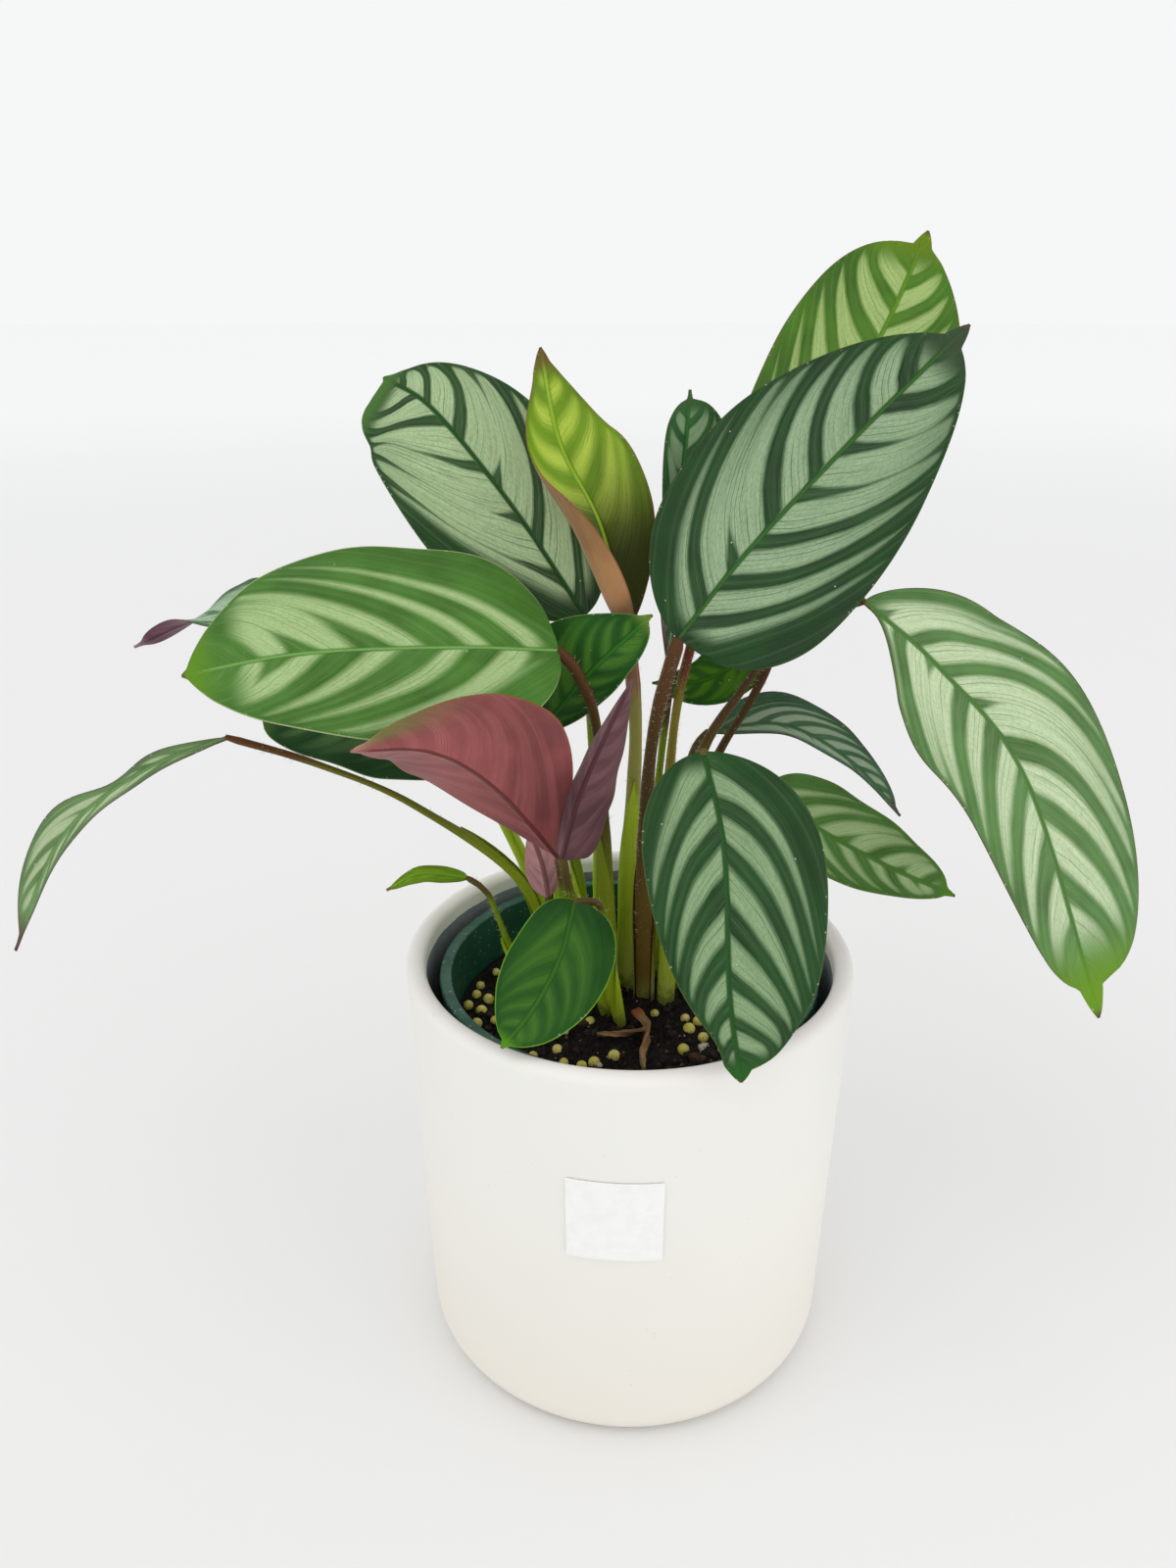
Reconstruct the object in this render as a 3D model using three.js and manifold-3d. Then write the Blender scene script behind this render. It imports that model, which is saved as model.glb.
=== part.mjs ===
// A potted prayer plant: twenty striped leaves on slim stalks, growing in a dark nursery pot that
// stands inside a plain white cover pot. Millimetres, +Z up, the front towards -Y, the origin at
// the middle of the cover pot's flat underside.
import * as THREE from 'three';
import { mergeVertices } from 'three/addons/utils/BufferGeometryUtils.js';
import Module from 'manifold-3d';

const wasm = await Module();
wasm.setup();

// Driving dimensions
const FIT = 0.3; // gap between two pieces that touch
const POT_HEIGHT = 148;
const POT_RIM_RADIUS = 76;
const POT_FOOT_RADIUS = 72.5;
const POT_WALL = 6.5;
const POT_FLOOR = 9;
const POT_CORNER = 9; // rounding between the wall and the underside
const POT_SEGMENTS = 56;
const NURSERY_RIM_RADIUS = 65;
const NURSERY_RIM_HEIGHT = 140; // above the underside of the cover pot
const NURSERY_RIM_EDGE = 0.7;
const NURSERY_LEDGE = 2.5; // how far the rim stands out from the wall
const NURSERY_SKIRT = 12; // height of the rim's skirt
const NURSERY_WALL = 1.6;
const NURSERY_FOOT_RADIUS = 52;
const NURSERY_FLOOR = 2.5;
const NURSERY_SEGMENTS = 44;
const NURSERY_HOLES = 6;
const NURSERY_HOLE_RADIUS = 5;
const NURSERY_HOLE_CIRCLE = 36; // radius of the ring of drain holes
const SOIL_HEIGHT = 122; // above the underside of the cover pot
const SOIL_BUMP = 1.2;
const SOIL_RINGS = [48, 40, 32, 24, 16, 8];
const SOIL_SEGMENTS = 36;
const SOIL_BITS_REACH = 52;
const SOIL_BITS_CLEARANCE = 4.5; // from a stalk
const STALK_ROOT_DEPTH = 14; // how deep a stalk stands in the soil
const PRILL_RADIUS = 2.1; // slow-release fertiliser beads
const GRIT_RADIUS = 1.3;
const BARK_SIZE = [6, 4, 2.4];
const BLADE_THICKNESS = 0.8;
const DRIP_LENGTH = 0.16; // the narrow tip, as shares of a blade's length and half width
const DRIP_WIDTH = 0.14;
const WAIST_LENGTH = 0.13;
const BLADE_ROWS = 10;
const BLADE_COLUMNS = 3; // on each side of the midrib
const STALK_SIDES = 6;
const STALK_STEPS = 9;
const SHEATH_END = 0.3; // shares of a stalk's length
const STEM_START = 0.75;
const JOINT_START = 0.85;
const LABEL_WIDTH = 30;
const LABEL_THICKNESS = 0.4;
const LABEL_PLACE = { x: -6, z: 95 };
const LABEL_STEPS = 6;

// Colours and finishes
const FINISH = {
  ceramic: { color: 0xf1efe9, roughness: 0.75, metalness: 0 },
  plastic: { color: 0x24523f, roughness: 0.45, metalness: 0 },
  soil: { color: 0x1a1410, roughness: 0.95, metalness: 0 },
  paper: { color: 0xffffff, roughness: 0.8, metalness: 0 },
  dried: { color: 0x96734f, roughness: 0.85, metalness: 0 },
  darkLeaf: { color: 0x4f7f5a, roughness: 0.5, metalness: 0 },
  midLeaf: { color: 0x66964f, roughness: 0.5, metalness: 0 },
  limeLeaf: { color: 0x86b32c, roughness: 0.5, metalness: 0 },
  purpleLeaf: { color: 0x7d3f4a, roughness: 0.55, metalness: 0 },
  greenStalk: { color: 0x7d9630, roughness: 0.5, metalness: 0 },
  brownStalk: { color: 0x5f412d, roughness: 0.6, metalness: 0 },
};

// Each leaf: the points of its midrib from the stalk to the tip, the way its upper face looks and
// how it turns about the midrib from base to tip, and the form of its left and right halves:
// [half width, place of greatest width, fullness at the base, fullness at the tip,
//  fold up from flat, curl at the base, curl at the tip], in mm, parts of the length and degrees,
// with the place and the depth of a waist after them where a half has one.
// Its stalk: where it stands in the soil, the points it passes on the way up, and its radius at
// the soil and at the leaf.
const LEAVES = {
  back_top: {
    finish: 'limeLeaf',
    rib: [[23, 37, 251], [53, 56, 292], [83, 71, 338], [99, 78, 374]],
    face: [-0.25, -0.75, 0.6],
    left: [32, 0.65, 0.5, 0.4, 8, -6, -6],
    right: [40, 0.42, 0.7, 0.7, 8, -6, -6],
    stalk: { soil: [10, 20], by: [[14, 25, 197], [17, 30, 227]], radius: [3, 1.5] },
  },
  big_right: {
    finish: 'darkLeaf',
    rib: [[14, 0, 256], [34, 8, 280], [66, 20, 312], [100, 24, 346]],
    face: [-0.15, -0.85, 0.5],
    left: [35, 0.52, 0.5, 0.7, 6, -8, -8],
    right: [37, 0.4, 0.4, 0.55, 10, -12, -12],
    stalk: { soil: [6, 3], by: [[5, 1, 189], [7, -2, 227]], radius: [3.2, 2] },
  },
  drooping_right: {
    finish: 'midLeaf',
    rib: [[69, -5, 269], [91, -14, 251], [115, -32, 222], [136, -60, 158]],
    face: [0.25, -0.8, 0.5],
    left: [31, 0.62, 0.4, 0.35, 8, -6, -6],
    right: [27, 0.57, 1.5, 0.45, 8, -6, -6],
    stalk: { soil: [15, 11], by: [[21, 13, 202], [37, 14, 236], [54, 8, 261]], radius: [3, 1.3] },
  },
  behind_centre: {
    finish: 'darkLeaf',
    rib: [[14, 31, 234], [11, 35, 264], [17, 42, 302], [19, 47, 326]],
    face: [-0.2, -0.9, 0.3],
    twist: [115, -10],
    left: [8, 0.7, 0.7, 0.5, 10, 10, 10],
    right: [17, 0.62, 0.7, 0.35, 24, 10, 10],
    stalk: { soil: [3, 28], by: [[9, 30, 176], [12, 31, 210]], radius: [2.8, 1.3] },
  },
  rolled_young: {
    finish: 'limeLeaf',
    rib: [[-1, 24, 253], [-10, 28, 286], [-23, 34, 311], [-29, 42, 339]],
    face: [0.1, -0.9, 0.4],
    columns: 5,
    left: [26, 0.36, 0.6, 1.2, 0, 215, 10],
    right: [20, 0.5, 0.7, 0.95, 10, -10, -5],
    stalk: { soil: [0, 12], by: [[1, 16, 183], [2, 20, 221]], radius: [3.4, 2.2] },
  },
  upper_left: {
    finish: 'darkLeaf',
    rib: [[-15, 25, 257], [-39, 40, 290], [-65, 54, 319], [-82, 60, 329]],
    face: [-0.1, -0.85, 0.5],
    body: 0.985,
    left: [31, 0.4, 0.8, 0.2, 6, -6, -6],
    right: [27, 0.4, 0.7, 1.15, 6, -6, -6],
    stalk: { soil: [-9, 24], by: [[-10, 26, 178], [-13, 26, 219]], radius: [2.8, 1.5] },
  },
  broad_left: {
    finish: 'midLeaf',
    rib: [[-23, -6, 254], [-54, -17, 258], [-94, -34, 261], [-126, -42, 257]],
    face: [-0.1, -0.6, 0.8],
    body: 0.985,
    left: [34, 0.43, 0.55, 0.7, 4, -10, -6],
    right: [42, 0.41, 0.45, 0.65, 4, -10, -6],
    stalk: { soil: [-7, 6], by: [[-8, 6, 168], [-11, 1, 224], [-17, -3, 245]], radius: [3, 1.6] },
  },
  under_left: {
    finish: 'darkLeaf',
    rib: [[-30, 4, 228], [-68, 4, 228], [-94, 2, 229], [-120, -2, 232]],
    face: [-0.1, -0.5, 0.85],
    left: [25, 0.36, 1.1, 0.4, 4, -6, -6],
    right: [24, 0.5, 0.6, 0.7, 4, -6, -6],
    stalk: { soil: [-19, 18], by: [[-27, 14, 184], [-30, 8, 212]], radius: [2.6, 1.5] },
  },
  maroon_left: {
    finish: 'purpleLeaf',
    rib: [[-23, -17, 189], [-41, -34, 220], [-57, -51, 238], [-76, -66, 244]],
    face: [-0.35, 0.8, 0.5],
    left: [28, 0.45, 1.3, 0.8, 5, 10, 0],
    right: [19, 0.5, 1, 0.8, 25, 15, 0],
    stalk: { soil: [-14, -1], by: [[-21, -8, 161], [-22, -13, 178]], radius: [2.4, 1.6] },
  },
  small_centre: {
    finish: 'darkLeaf',
    rib: [[-29, 11, 222], [-14, 8, 242], [6, 6, 262]],
    face: [0.1, -0.8, 0.6],
    left: [22, 0.41, 0.7, 0.8, 8, -6, -6],
    right: [10, 0.57, 0.5, 0.45, 8, -6, -6],
    stalk: { soil: [-13, 13], by: [[-18, 12, 172], [-26, 12, 203]], radius: [2.6, 1.3] },
  },
  mauve_centre: {
    finish: 'purpleLeaf',
    rib: [[-22, -27, 194], [-17, -29, 214], [-10, -26, 231], [-1, -20, 249]],
    face: [-0.3, 0.9, 0.2],
    left: [11, 0.25, 0.25, 0.6, -10, 15, 10],
    right: [6, 0.3, 0.3, 0.7, 80, 10, 0],
    stalk: { soil: [-7, -5], by: [[-15, -16, 165], [-20, -24, 182]], radius: [2.2, 1.3] },
  },
  pink_small: {
    finish: 'purpleLeaf',
    small: true,
    rib: [[-27, -12, 173], [-29, -10, 184], [-33, -8, 195]],
    face: [-0.2, 0.9, 0.3],
    left: [6, 0.4, 0.6, 0.7, 10, 10, 10],
    right: [6, 0.4, 0.6, 0.7, 10, 10, 10],
    stalk: { soil: [-21, 5], by: [[-26, -3, 150], [-27, -9, 163]], radius: [1.8, 1] },
  },
  far_left: {
    finish: 'midLeaf',
    rib: [[-123, -20, 231], [-148, -27, 222], [-171, -35, 204], [-189, -40, 169]],
    face: [-0.2, -0.7, 0.65],
    left: [5.5, 0.6, 0.5, 0.8, 20, 5, 5],
    right: [8.5, 0.68, 0.45, 0.8, 15, 0, 0, 0.42, 0.65],
    stalk: { soil: [-26, 12], by: [[-35, 4, 168], [-69, -6, 202], [-98, -14, 220]], radius: [2, 1] },
  },
  curled_far_left: {
    finish: 'midLeaf',
    rib: [[-103, 36, 259], [-127, 40, 256], [-149, 44, 251], [-172, 44, 241]],
    face: [0, -0.6, 0.8],
    twist: [-102, 115],
    left: [10, 0.4, 0.5, 0.6, 5, 5, 5],
    right: [10, 0.4, 0.5, 0.6, 5, 5, 5],
    stalk: { soil: [-19, 27], by: [[-42, 30, 176], [-71, 32, 231]], radius: [2.4, 1] },
  },
  tiny_lime: {
    finish: 'limeLeaf',
    small: true,
    rib: [[-54, -5, 176], [-69, -8, 179], [-80, -10, 174]],
    face: [0, -0.5, 0.85],
    left: [4, 0.45, 0.6, 0.7, 10, 0, 0],
    right: [3, 0.3, 0.6, 0.7, 10, 0, 0],
    stalk: { soil: [-34, 0], by: [[-45, -4, 163], [-49, -5, 172]], radius: [2.2, 0.9] },
  },
  oval_front: {
    finish: 'midLeaf',
    rib: [[-18, -40, 186], [-22, -50, 173], [-30, -60, 161], [-39, -68, 153]],
    face: [0, -0.75, 0.66],
    left: [16, 0.36, 0.55, 0.65, 6, -8, -8],
    right: [15, 0.46, 0.35, 0.55, 6, -8, -8],
    stalk: { soil: [-3, -11], by: [[-7, -20, 153], [-10, -33, 180]], radius: [2, 1] },
  },
  broad_front: {
    finish: 'darkLeaf',
    rib: [[20, -30, 230], [24, -56, 211], [25, -76, 176], [29, -80, 150]],
    face: [-0.05, -0.85, 0.5],
    left: [28, 0.45, 0.65, 0.5, 8, -16, -16],
    right: [23, 0.35, 0.7, 1.5, 10, -16, -16],
    stalk: { soil: [13, 2], by: [[15, -2, 173], [21, -17, 214]], radius: [2.6, 1.6] },
  },
  lower_right: {
    finish: 'midLeaf',
    rib: [[45, 5, 204], [63, 6, 189], [88, 5, 175], [111, 3, 165]],
    face: [0, -0.7, 0.7],
    left: [17, 0.42, 0.6, 0.5, 8, -6, -6],
    right: [15, 0.35, 0.75, 0.65, 8, -6, -6],
    stalk: { soil: [22, 7], by: [[26, 9, 167], [37, 6, 198]], radius: [2.4, 1.2] },
  },
  narrow_right: {
    finish: 'darkLeaf',
    rib: [[29, 44, 210], [57, 50, 210], [83, 52, 195], [103, 50, 174]],
    face: [0, -0.7, 0.7],
    left: [12, 0.35, 1.2, 0.6, 10, 10, 0],
    right: [6, 0.35, 0.8, 1.2, 20, 20, 0],
    stalk: { soil: [17, 23], by: [[17, 30, 177], [23, 40, 202]], radius: [2.4, 1.1] },
  },
  behind_right: {
    finish: 'midLeaf',
    rib: [[46.5, 54, 238], [38.5, 54, 231.5], [26, 52, 226], [9, 50, 226]],
    face: [0, -0.97, 0.25],
    left: [11, 0.42, 0.9, 0.5, 6, -6, -6],
    right: [10, 0.42, 0.9, 0.7, 6, -6, -6],
    stalk: {
      soil: [17, 31],
      by: [[24, 34, 178], [32, 37, 203], [43.5, 40.5, 223], [50, 45, 237.5]],
      radius: [2.4, 1.42],
    },
  },
};

// The dried, twisted remains of an old leaf that lie on the soil, with one side shred
const DRIED_STRIP = [[2, -10, 128], [6, -15, 125.6], [6, -21, 124.6], [4, -30, 124.5], [4, -39, 124.5]];
const DRIED_SHRED = [[6.5, -17, 125.3], [-2, -19, 124.6], [-11, -19, 124.2]];
const DRIED_WIDTH = 3.4;
const DRIED_SHRED_WIDTH = 2.6;
const DRIED_THICKNESS = 1.2;
const DRIED_TURNS = 1.5;
const DRIED_CLEARANCE = 8;

const group = new THREE.Group();

// A named mesh in the group
function addPiece(name, geometry, finish) {
  const flat = geometry.index ? geometry.toNonIndexed() : geometry;
  flat.computeVertexNormals();
  const mesh = new THREE.Mesh(flat, new THREE.MeshStandardMaterial({ ...FINISH[finish], name }));
  mesh.name = name;
  group.add(mesh);
  return mesh;
}

// A closed geometry as a solid for joining and cutting
function solid(geometry) {
  const bare = geometry.clone();
  bare.deleteAttribute('normal');
  bare.deleteAttribute('uv');
  const merged = mergeVertices(bare, 1e-4);
  return new wasm.Manifold(new wasm.Mesh({
    numProp: 3,
    vertProperties: new Float32Array(merged.attributes.position.array),
    triVerts: new Uint32Array(merged.index.array),
  }));
}

// A solid back as a geometry
function geometryOf(body) {
  const mesh = body.getMesh();
  const geometry = new THREE.BufferGeometry();
  geometry.setAttribute('position', new THREE.BufferAttribute(mesh.vertProperties, mesh.numProp));
  geometry.setIndex(new THREE.BufferAttribute(mesh.triVerts, 1));
  return geometry;
}

// A solid of revolution about Z from a profile of [radius, height] points
function turned(profile, segments) {
  const points = profile.map(([r, z]) => new THREE.Vector2(r, z));
  return new THREE.LatheGeometry(points, segments).rotateX(Math.PI / 2);
}

// Points of a quarter circle in a profile, from one angle to another in degrees
function arc(centre, radius, from, to, steps) {
  const points = [];
  for (let i = 0; i <= steps; i += 1) {
    const angle = THREE.MathUtils.degToRad(from + ((to - from) * i) / steps);
    points.push([centre[0] + radius * Math.cos(angle), centre[1] + radius * Math.sin(angle)]);
  }
  return points;
}

// Repeatable random numbers from 0 to 1
function randomSource(seed) {
  let state = seed;
  return () => {
    state = (state * 16807) % 2147483647;
    return state / 2147483647;
  };
}

function curveThrough(points) {
  const vectors = points.map((point) => new THREE.Vector3(...point));
  return new THREE.CatmullRomCurve3(vectors, false, 'catmullrom', 0.5);
}

// Outer radius of the cover pot at a height
function potOutside(z) {
  return POT_FOOT_RADIUS + ((POT_RIM_RADIUS - POT_FOOT_RADIUS) * z) / POT_HEIGHT;
}

// Cover pot: a nearly straight cylinder with a thick rounded rim and a rounded bottom edge
function coverPot() {
  const rim = POT_WALL / 2;
  const profile = [
    [0, 0],
    ...arc([POT_FOOT_RADIUS - POT_CORNER, POT_CORNER], POT_CORNER, -90, 0, 4),
    [potOutside(POT_HEIGHT - rim), POT_HEIGHT - rim],
    ...arc([POT_RIM_RADIUS - rim, POT_HEIGHT - rim], rim, 30, 180, 5),
    [POT_FOOT_RADIUS - POT_WALL, POT_FLOOR + POT_CORNER],
    [POT_FOOT_RADIUS - POT_WALL - POT_CORNER, POT_FLOOR],
    [0, POT_FLOOR],
  ];
  addPiece('cover_pot', turned(profile, POT_SEGMENTS), 'ceramic');
}

// Radius of the nursery pot's inner wall at a height
function nurseryInside(z) {
  const foot = POT_FLOOR + FIT;
  const share = (z - foot) / (NURSERY_RIM_HEIGHT - foot);
  const top = NURSERY_RIM_RADIUS - NURSERY_LEDGE;
  return NURSERY_FOOT_RADIUS + (top - NURSERY_FOOT_RADIUS) * share - NURSERY_WALL;
}

// Nursery pot: thin tapered wall, a turned-out rim with a short skirt, and drain holes
function nurseryPot() {
  const foot = POT_FLOOR + FIT;
  const top = NURSERY_RIM_HEIGHT;
  const skirt = top - NURSERY_SKIRT;
  const floor = foot + NURSERY_FLOOR;
  const profile = [
    [0, foot],
    [NURSERY_FOOT_RADIUS, foot],
    [nurseryInside(skirt) + NURSERY_WALL, skirt],
    [NURSERY_RIM_RADIUS - NURSERY_RIM_EDGE, skirt],
    [NURSERY_RIM_RADIUS, top - NURSERY_RIM_EDGE],
    [NURSERY_RIM_RADIUS - NURSERY_RIM_EDGE, top],
    [nurseryInside(top) + NURSERY_RIM_EDGE, top],
    [nurseryInside(top - NURSERY_RIM_EDGE), top - NURSERY_RIM_EDGE],
    [nurseryInside(floor), floor],
    [0, floor],
  ];
  let body = solid(turned(profile, NURSERY_SEGMENTS));
  const depth = 4 * NURSERY_FLOOR;
  const drill = new THREE.CylinderGeometry(NURSERY_HOLE_RADIUS, NURSERY_HOLE_RADIUS, depth, 10);
  drill.rotateX(Math.PI / 2);
  for (let i = 0; i < NURSERY_HOLES; i += 1) {
    const angle = (i * 2 * Math.PI) / NURSERY_HOLES;
    const [x, y] = [NURSERY_HOLE_CIRCLE * Math.cos(angle), NURSERY_HOLE_CIRCLE * Math.sin(angle)];
    body = body.subtract(solid(drill.clone().translate(x, y, foot)));
  }
  addPiece('nursery_pot', geometryOf(body), 'plastic');
}

// Height of the loose soil at a place
function soilTop(x, y) {
  const broad = Math.sin(0.23 * x + 0.6) * Math.cos(0.19 * y);
  const fine = Math.sin(0.41 * x - 0.37 * y);
  return SOIL_HEIGHT + SOIL_BUMP * (broad + 0.6 * fine);
}

// Soil: fills the nursery pot, with an uneven top, beads, pale grit and bark sunk into it, and a
// plain hole for each stalk
function soil(stalkHoles) {
  const bottom = POT_FLOOR + NURSERY_FLOOR + 2 * FIT;
  const edge = nurseryInside(SOIL_HEIGHT) - FIT;
  const profile = [
    [0, bottom],
    [nurseryInside(bottom) - FIT, bottom],
    [edge, SOIL_HEIGHT],
    ...SOIL_RINGS.map((r) => [r, SOIL_HEIGHT]),
    [0, SOIL_HEIGHT],
  ];
  const ground = turned(profile, SOIL_SEGMENTS);
  const place = ground.attributes.position;
  for (let i = 0; i < place.count; i += 1) {
    const [x, y] = [place.getX(i), place.getY(i)];
    const onTop = place.getZ(i) > SOIL_HEIGHT - 1;
    if (onTop && Math.hypot(x, y) < edge - 1) place.setZ(i, soilTop(x, y));
  }
  let body = solid(ground);
  for (const bit of soilBits()) body = body.add(solid(bit));
  for (const hole of stalkHoles) body = body.subtract(hole);
  const [whole] = body.decompose().sort((a, b) => b.volume() - a.volume());
  addPiece('soil', geometryOf(whole), 'soil');
}

// Beads, grit and bark scattered over the soil by rule, clear of the stalks and the dried strip
function soilBits() {
  const random = randomSource(2147);
  const kinds = [
    { count: 40, make: () => new THREE.IcosahedronGeometry(PRILL_RADIUS, 0), lift: 0.3 },
    { count: 16, make: () => new THREE.OctahedronGeometry(GRIT_RADIUS + random(), 0), lift: -0.3 },
    { count: 8, make: () => new THREE.BoxGeometry(...BARK_SIZE), lift: -0.2 },
  ];
  const bits = [];
  for (const kind of kinds) {
    let placed = 0;
    while (placed < kind.count) {
      const angle = 2 * Math.PI * random();
      const reach = SOIL_BITS_REACH * Math.sqrt(random());
      const [x, y] = [reach * Math.cos(angle), reach * Math.sin(angle)];
      const bit = kind.make();
      bit.rotateX(0.6 * random() - 0.3);
      bit.rotateZ(Math.PI * random());
      if (!nearStalks(x, y) && !nearStrip(x, y)) {
        bits.push(bit.translate(x, y, soilTop(x, y) + kind.lift));
        placed += 1;
      }
    }
  }
  return bits;
}

function nearStalks(x, y) {
  return Object.values(LEAVES).some(({ stalk }) => {
    const gap = Math.hypot(x - stalk.soil[0], y - stalk.soil[1]);
    return gap < stalk.radius[0] + SOIL_BITS_CLEARANCE;
  });
}

function nearStrip(x, y) {
  return [...DRIED_STRIP, ...DRIED_SHRED].some(
    (point) => Math.hypot(x - point[0], y - point[1]) < DRIED_CLEARANCE,
  );
}

// Skin over a row of closed rings of points, with a fan over each end
function skin(rings) {
  const sides = rings[0].length;
  const points = rings.flat();
  const faces = [];
  for (let i = 0; i + 1 < rings.length; i += 1) {
    for (let j = 0; j < sides; j += 1) {
      const a = i * sides + j;
      const b = i * sides + ((j + 1) % sides);
      faces.push(a, b, b + sides, a, b + sides, a + sides);
    }
  }
  const last = (rings.length - 1) * sides;
  for (let j = 1; j + 1 < sides; j += 1) {
    faces.push(0, j + 1, j);
    faces.push(last, last + j, last + j + 1);
  }
  return fromPoints(points, faces);
}

function fromPoints(points, faces) {
  const geometry = new THREE.BufferGeometry().setFromPoints(points);
  geometry.setIndex(faces);
  return geometry;
}

// A round tube along a curve, its radius a function of the share of the way
function tube(curve, radiusAt, sides, steps) {
  const frames = curve.computeFrenetFrames(steps, false);
  const rings = [];
  for (let i = 0; i <= steps; i += 1) {
    const share = i / steps;
    const centre = curve.getPointAt(share);
    const ring = [];
    for (let j = 0; j < sides; j += 1) {
      const angle = (j * 2 * Math.PI) / sides;
      const radius = radiusAt(share);
      ring.push(centre.clone()
        .addScaledVector(frames.normals[i], radius * Math.cos(angle))
        .addScaledVector(frames.binormals[i], radius * Math.sin(angle)));
    }
    rings.push(ring);
  }
  return skin(rings);
}

// The points of a stalk: its foot in the soil, straight below the way it leaves the soil, then the
// soil, the points on its way and its end just short of the blade
function stalkPoints(leaf) {
  const ground = new THREE.Vector3(...leaf.stalk.soil, SOIL_HEIGHT);
  const above = new THREE.Vector3(...leaf.stalk.by[0]);
  const rise = above.sub(ground).normalize();
  const foot = ground.clone().addScaledVector(rise, -STALK_ROOT_DEPTH);
  const leafBase = new THREE.Vector3(...leaf.rib[0]);
  const arrive = leafBase.clone().sub(new THREE.Vector3(...leaf.stalk.by.at(-1))).normalize();
  const end = leafBase.addScaledVector(arrive, -3 * FIT);
  return [foot.toArray(), ground.toArray(), ...leaf.stalk.by, end.toArray()];
}

// Radius of a stalk: a clasping sheath near the soil, a slim stem, and a thicker joint at the leaf
function stalkRadius(leaf) {
  const [wide, slim] = leaf.stalk.radius;
  return (share) => {
    const narrowing = THREE.MathUtils.smoothstep(share, SHEATH_END, STEM_START);
    const stem = wide + (slim - wide) * narrowing;
    if (share > 0.99) return 0.7 * stem;
    return share > JOINT_START ? 1.15 * stem : stem;
  };
}

function stalk(name, leaf) {
  const geometry = tube(curveThrough(stalkPoints(leaf)), stalkRadius(leaf), STALK_SIDES, STALK_STEPS);
  addPiece(`stalk_${name}`, geometry, leaf.stalk.radius[1] > 1.4 ? 'brownStalk' : 'greenStalk');
}

// The plain hole that a stalk's foot stands in, a little wider and deeper than the foot
function stalkHole(leaf) {
  const [foot, ground, above] = stalkPoints(leaf).map((point) => new THREE.Vector3(...point));
  const rise = ground.clone().sub(foot).normalize();
  foot.addScaledVector(rise, -FIT);
  const mouth = above.lerp(ground, 0.75);
  const radius = leaf.stalk.radius[0] + 2 * FIT;
  return solid(tube(new THREE.LineCurve3(foot, mouth), () => radius, 8, 1));
}

// Half width of a blade at a share of its length, from 0 to 1, with a narrow drip tip
function bladeShape(share, form, body) {
  const [, widest, baseFullness, tipFullness, , , , waistPlace = 0, waistDepth = 0] = form;
  const along = Math.min(share / body, 1);
  const power = Math.log(0.5) / Math.log(widest);
  const fullness = baseFullness + (tipFullness - baseFullness) * along;
  const oval = Math.max(Math.sin(Math.PI * along ** power), 0) ** fullness;
  const waist = waistDepth * Math.exp(-(((share - waistPlace) / WAIST_LENGTH) ** 2));
  const drip = share > 0.6 ? DRIP_WIDTH * Math.min((1 - share) / DRIP_LENGTH, 1) ** 0.65 : 0;
  return Math.max(oval * (1 - waist), drip);
}

// Points across a blade's middle surface: rows along the midrib, columns from left to right
function bladeGrid(leaf, rows, columns) {
  const rib = curveThrough(leaf.rib);
  const face = new THREE.Vector3(...leaf.face).normalize();
  const twist = leaf.twist ?? [0, 0];
  const grid = [];
  for (let i = 0; i <= rows; i += 1) {
    const share = (1 - Math.cos((Math.PI * i) / rows)) / 2; // closer together at the base and the tip
    const centre = rib.getPoint(share);
    const along = rib.getTangent(share);
    const up = face.clone().addScaledVector(along, -face.dot(along)).normalize();
    const turn = THREE.MathUtils.degToRad(twist[0] + (twist[1] - twist[0]) * share);
    up.applyAxisAngle(along, turn);
    const across = new THREE.Vector3().crossVectors(along, up);
    const line = [];
    for (let j = -columns; j <= columns; j += 1) {
      const form = j < 0 ? leaf.left : leaf.right;
      const width = Math.max(form[0] * bladeShape(share, form, leaf.body ?? 0.955), 0.5);
      const [sideways, upward] = bentAcross(form, share, Math.abs(j) / columns, width);
      line.push(centre.clone()
        .addScaledVector(across, Math.sign(j) * sideways)
        .addScaledVector(up, upward));
    }
    grid.push(line);
  }
  return grid;
}

// Place of a point across one half of a blade that is folded up and evenly curled
function bentAcross([, , , , foldDegrees, curlBase, curlTip], share, part, width) {
  const fold = THREE.MathUtils.degToRad(foldDegrees);
  const curl = THREE.MathUtils.degToRad(curlBase + (curlTip - curlBase) * share) || 1e-3;
  const sideways = (width * (Math.sin(fold + curl * part) - Math.sin(fold))) / curl;
  const upward = (width * (Math.cos(fold) - Math.cos(fold + curl * part))) / curl;
  return [sideways, upward];
}

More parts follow.
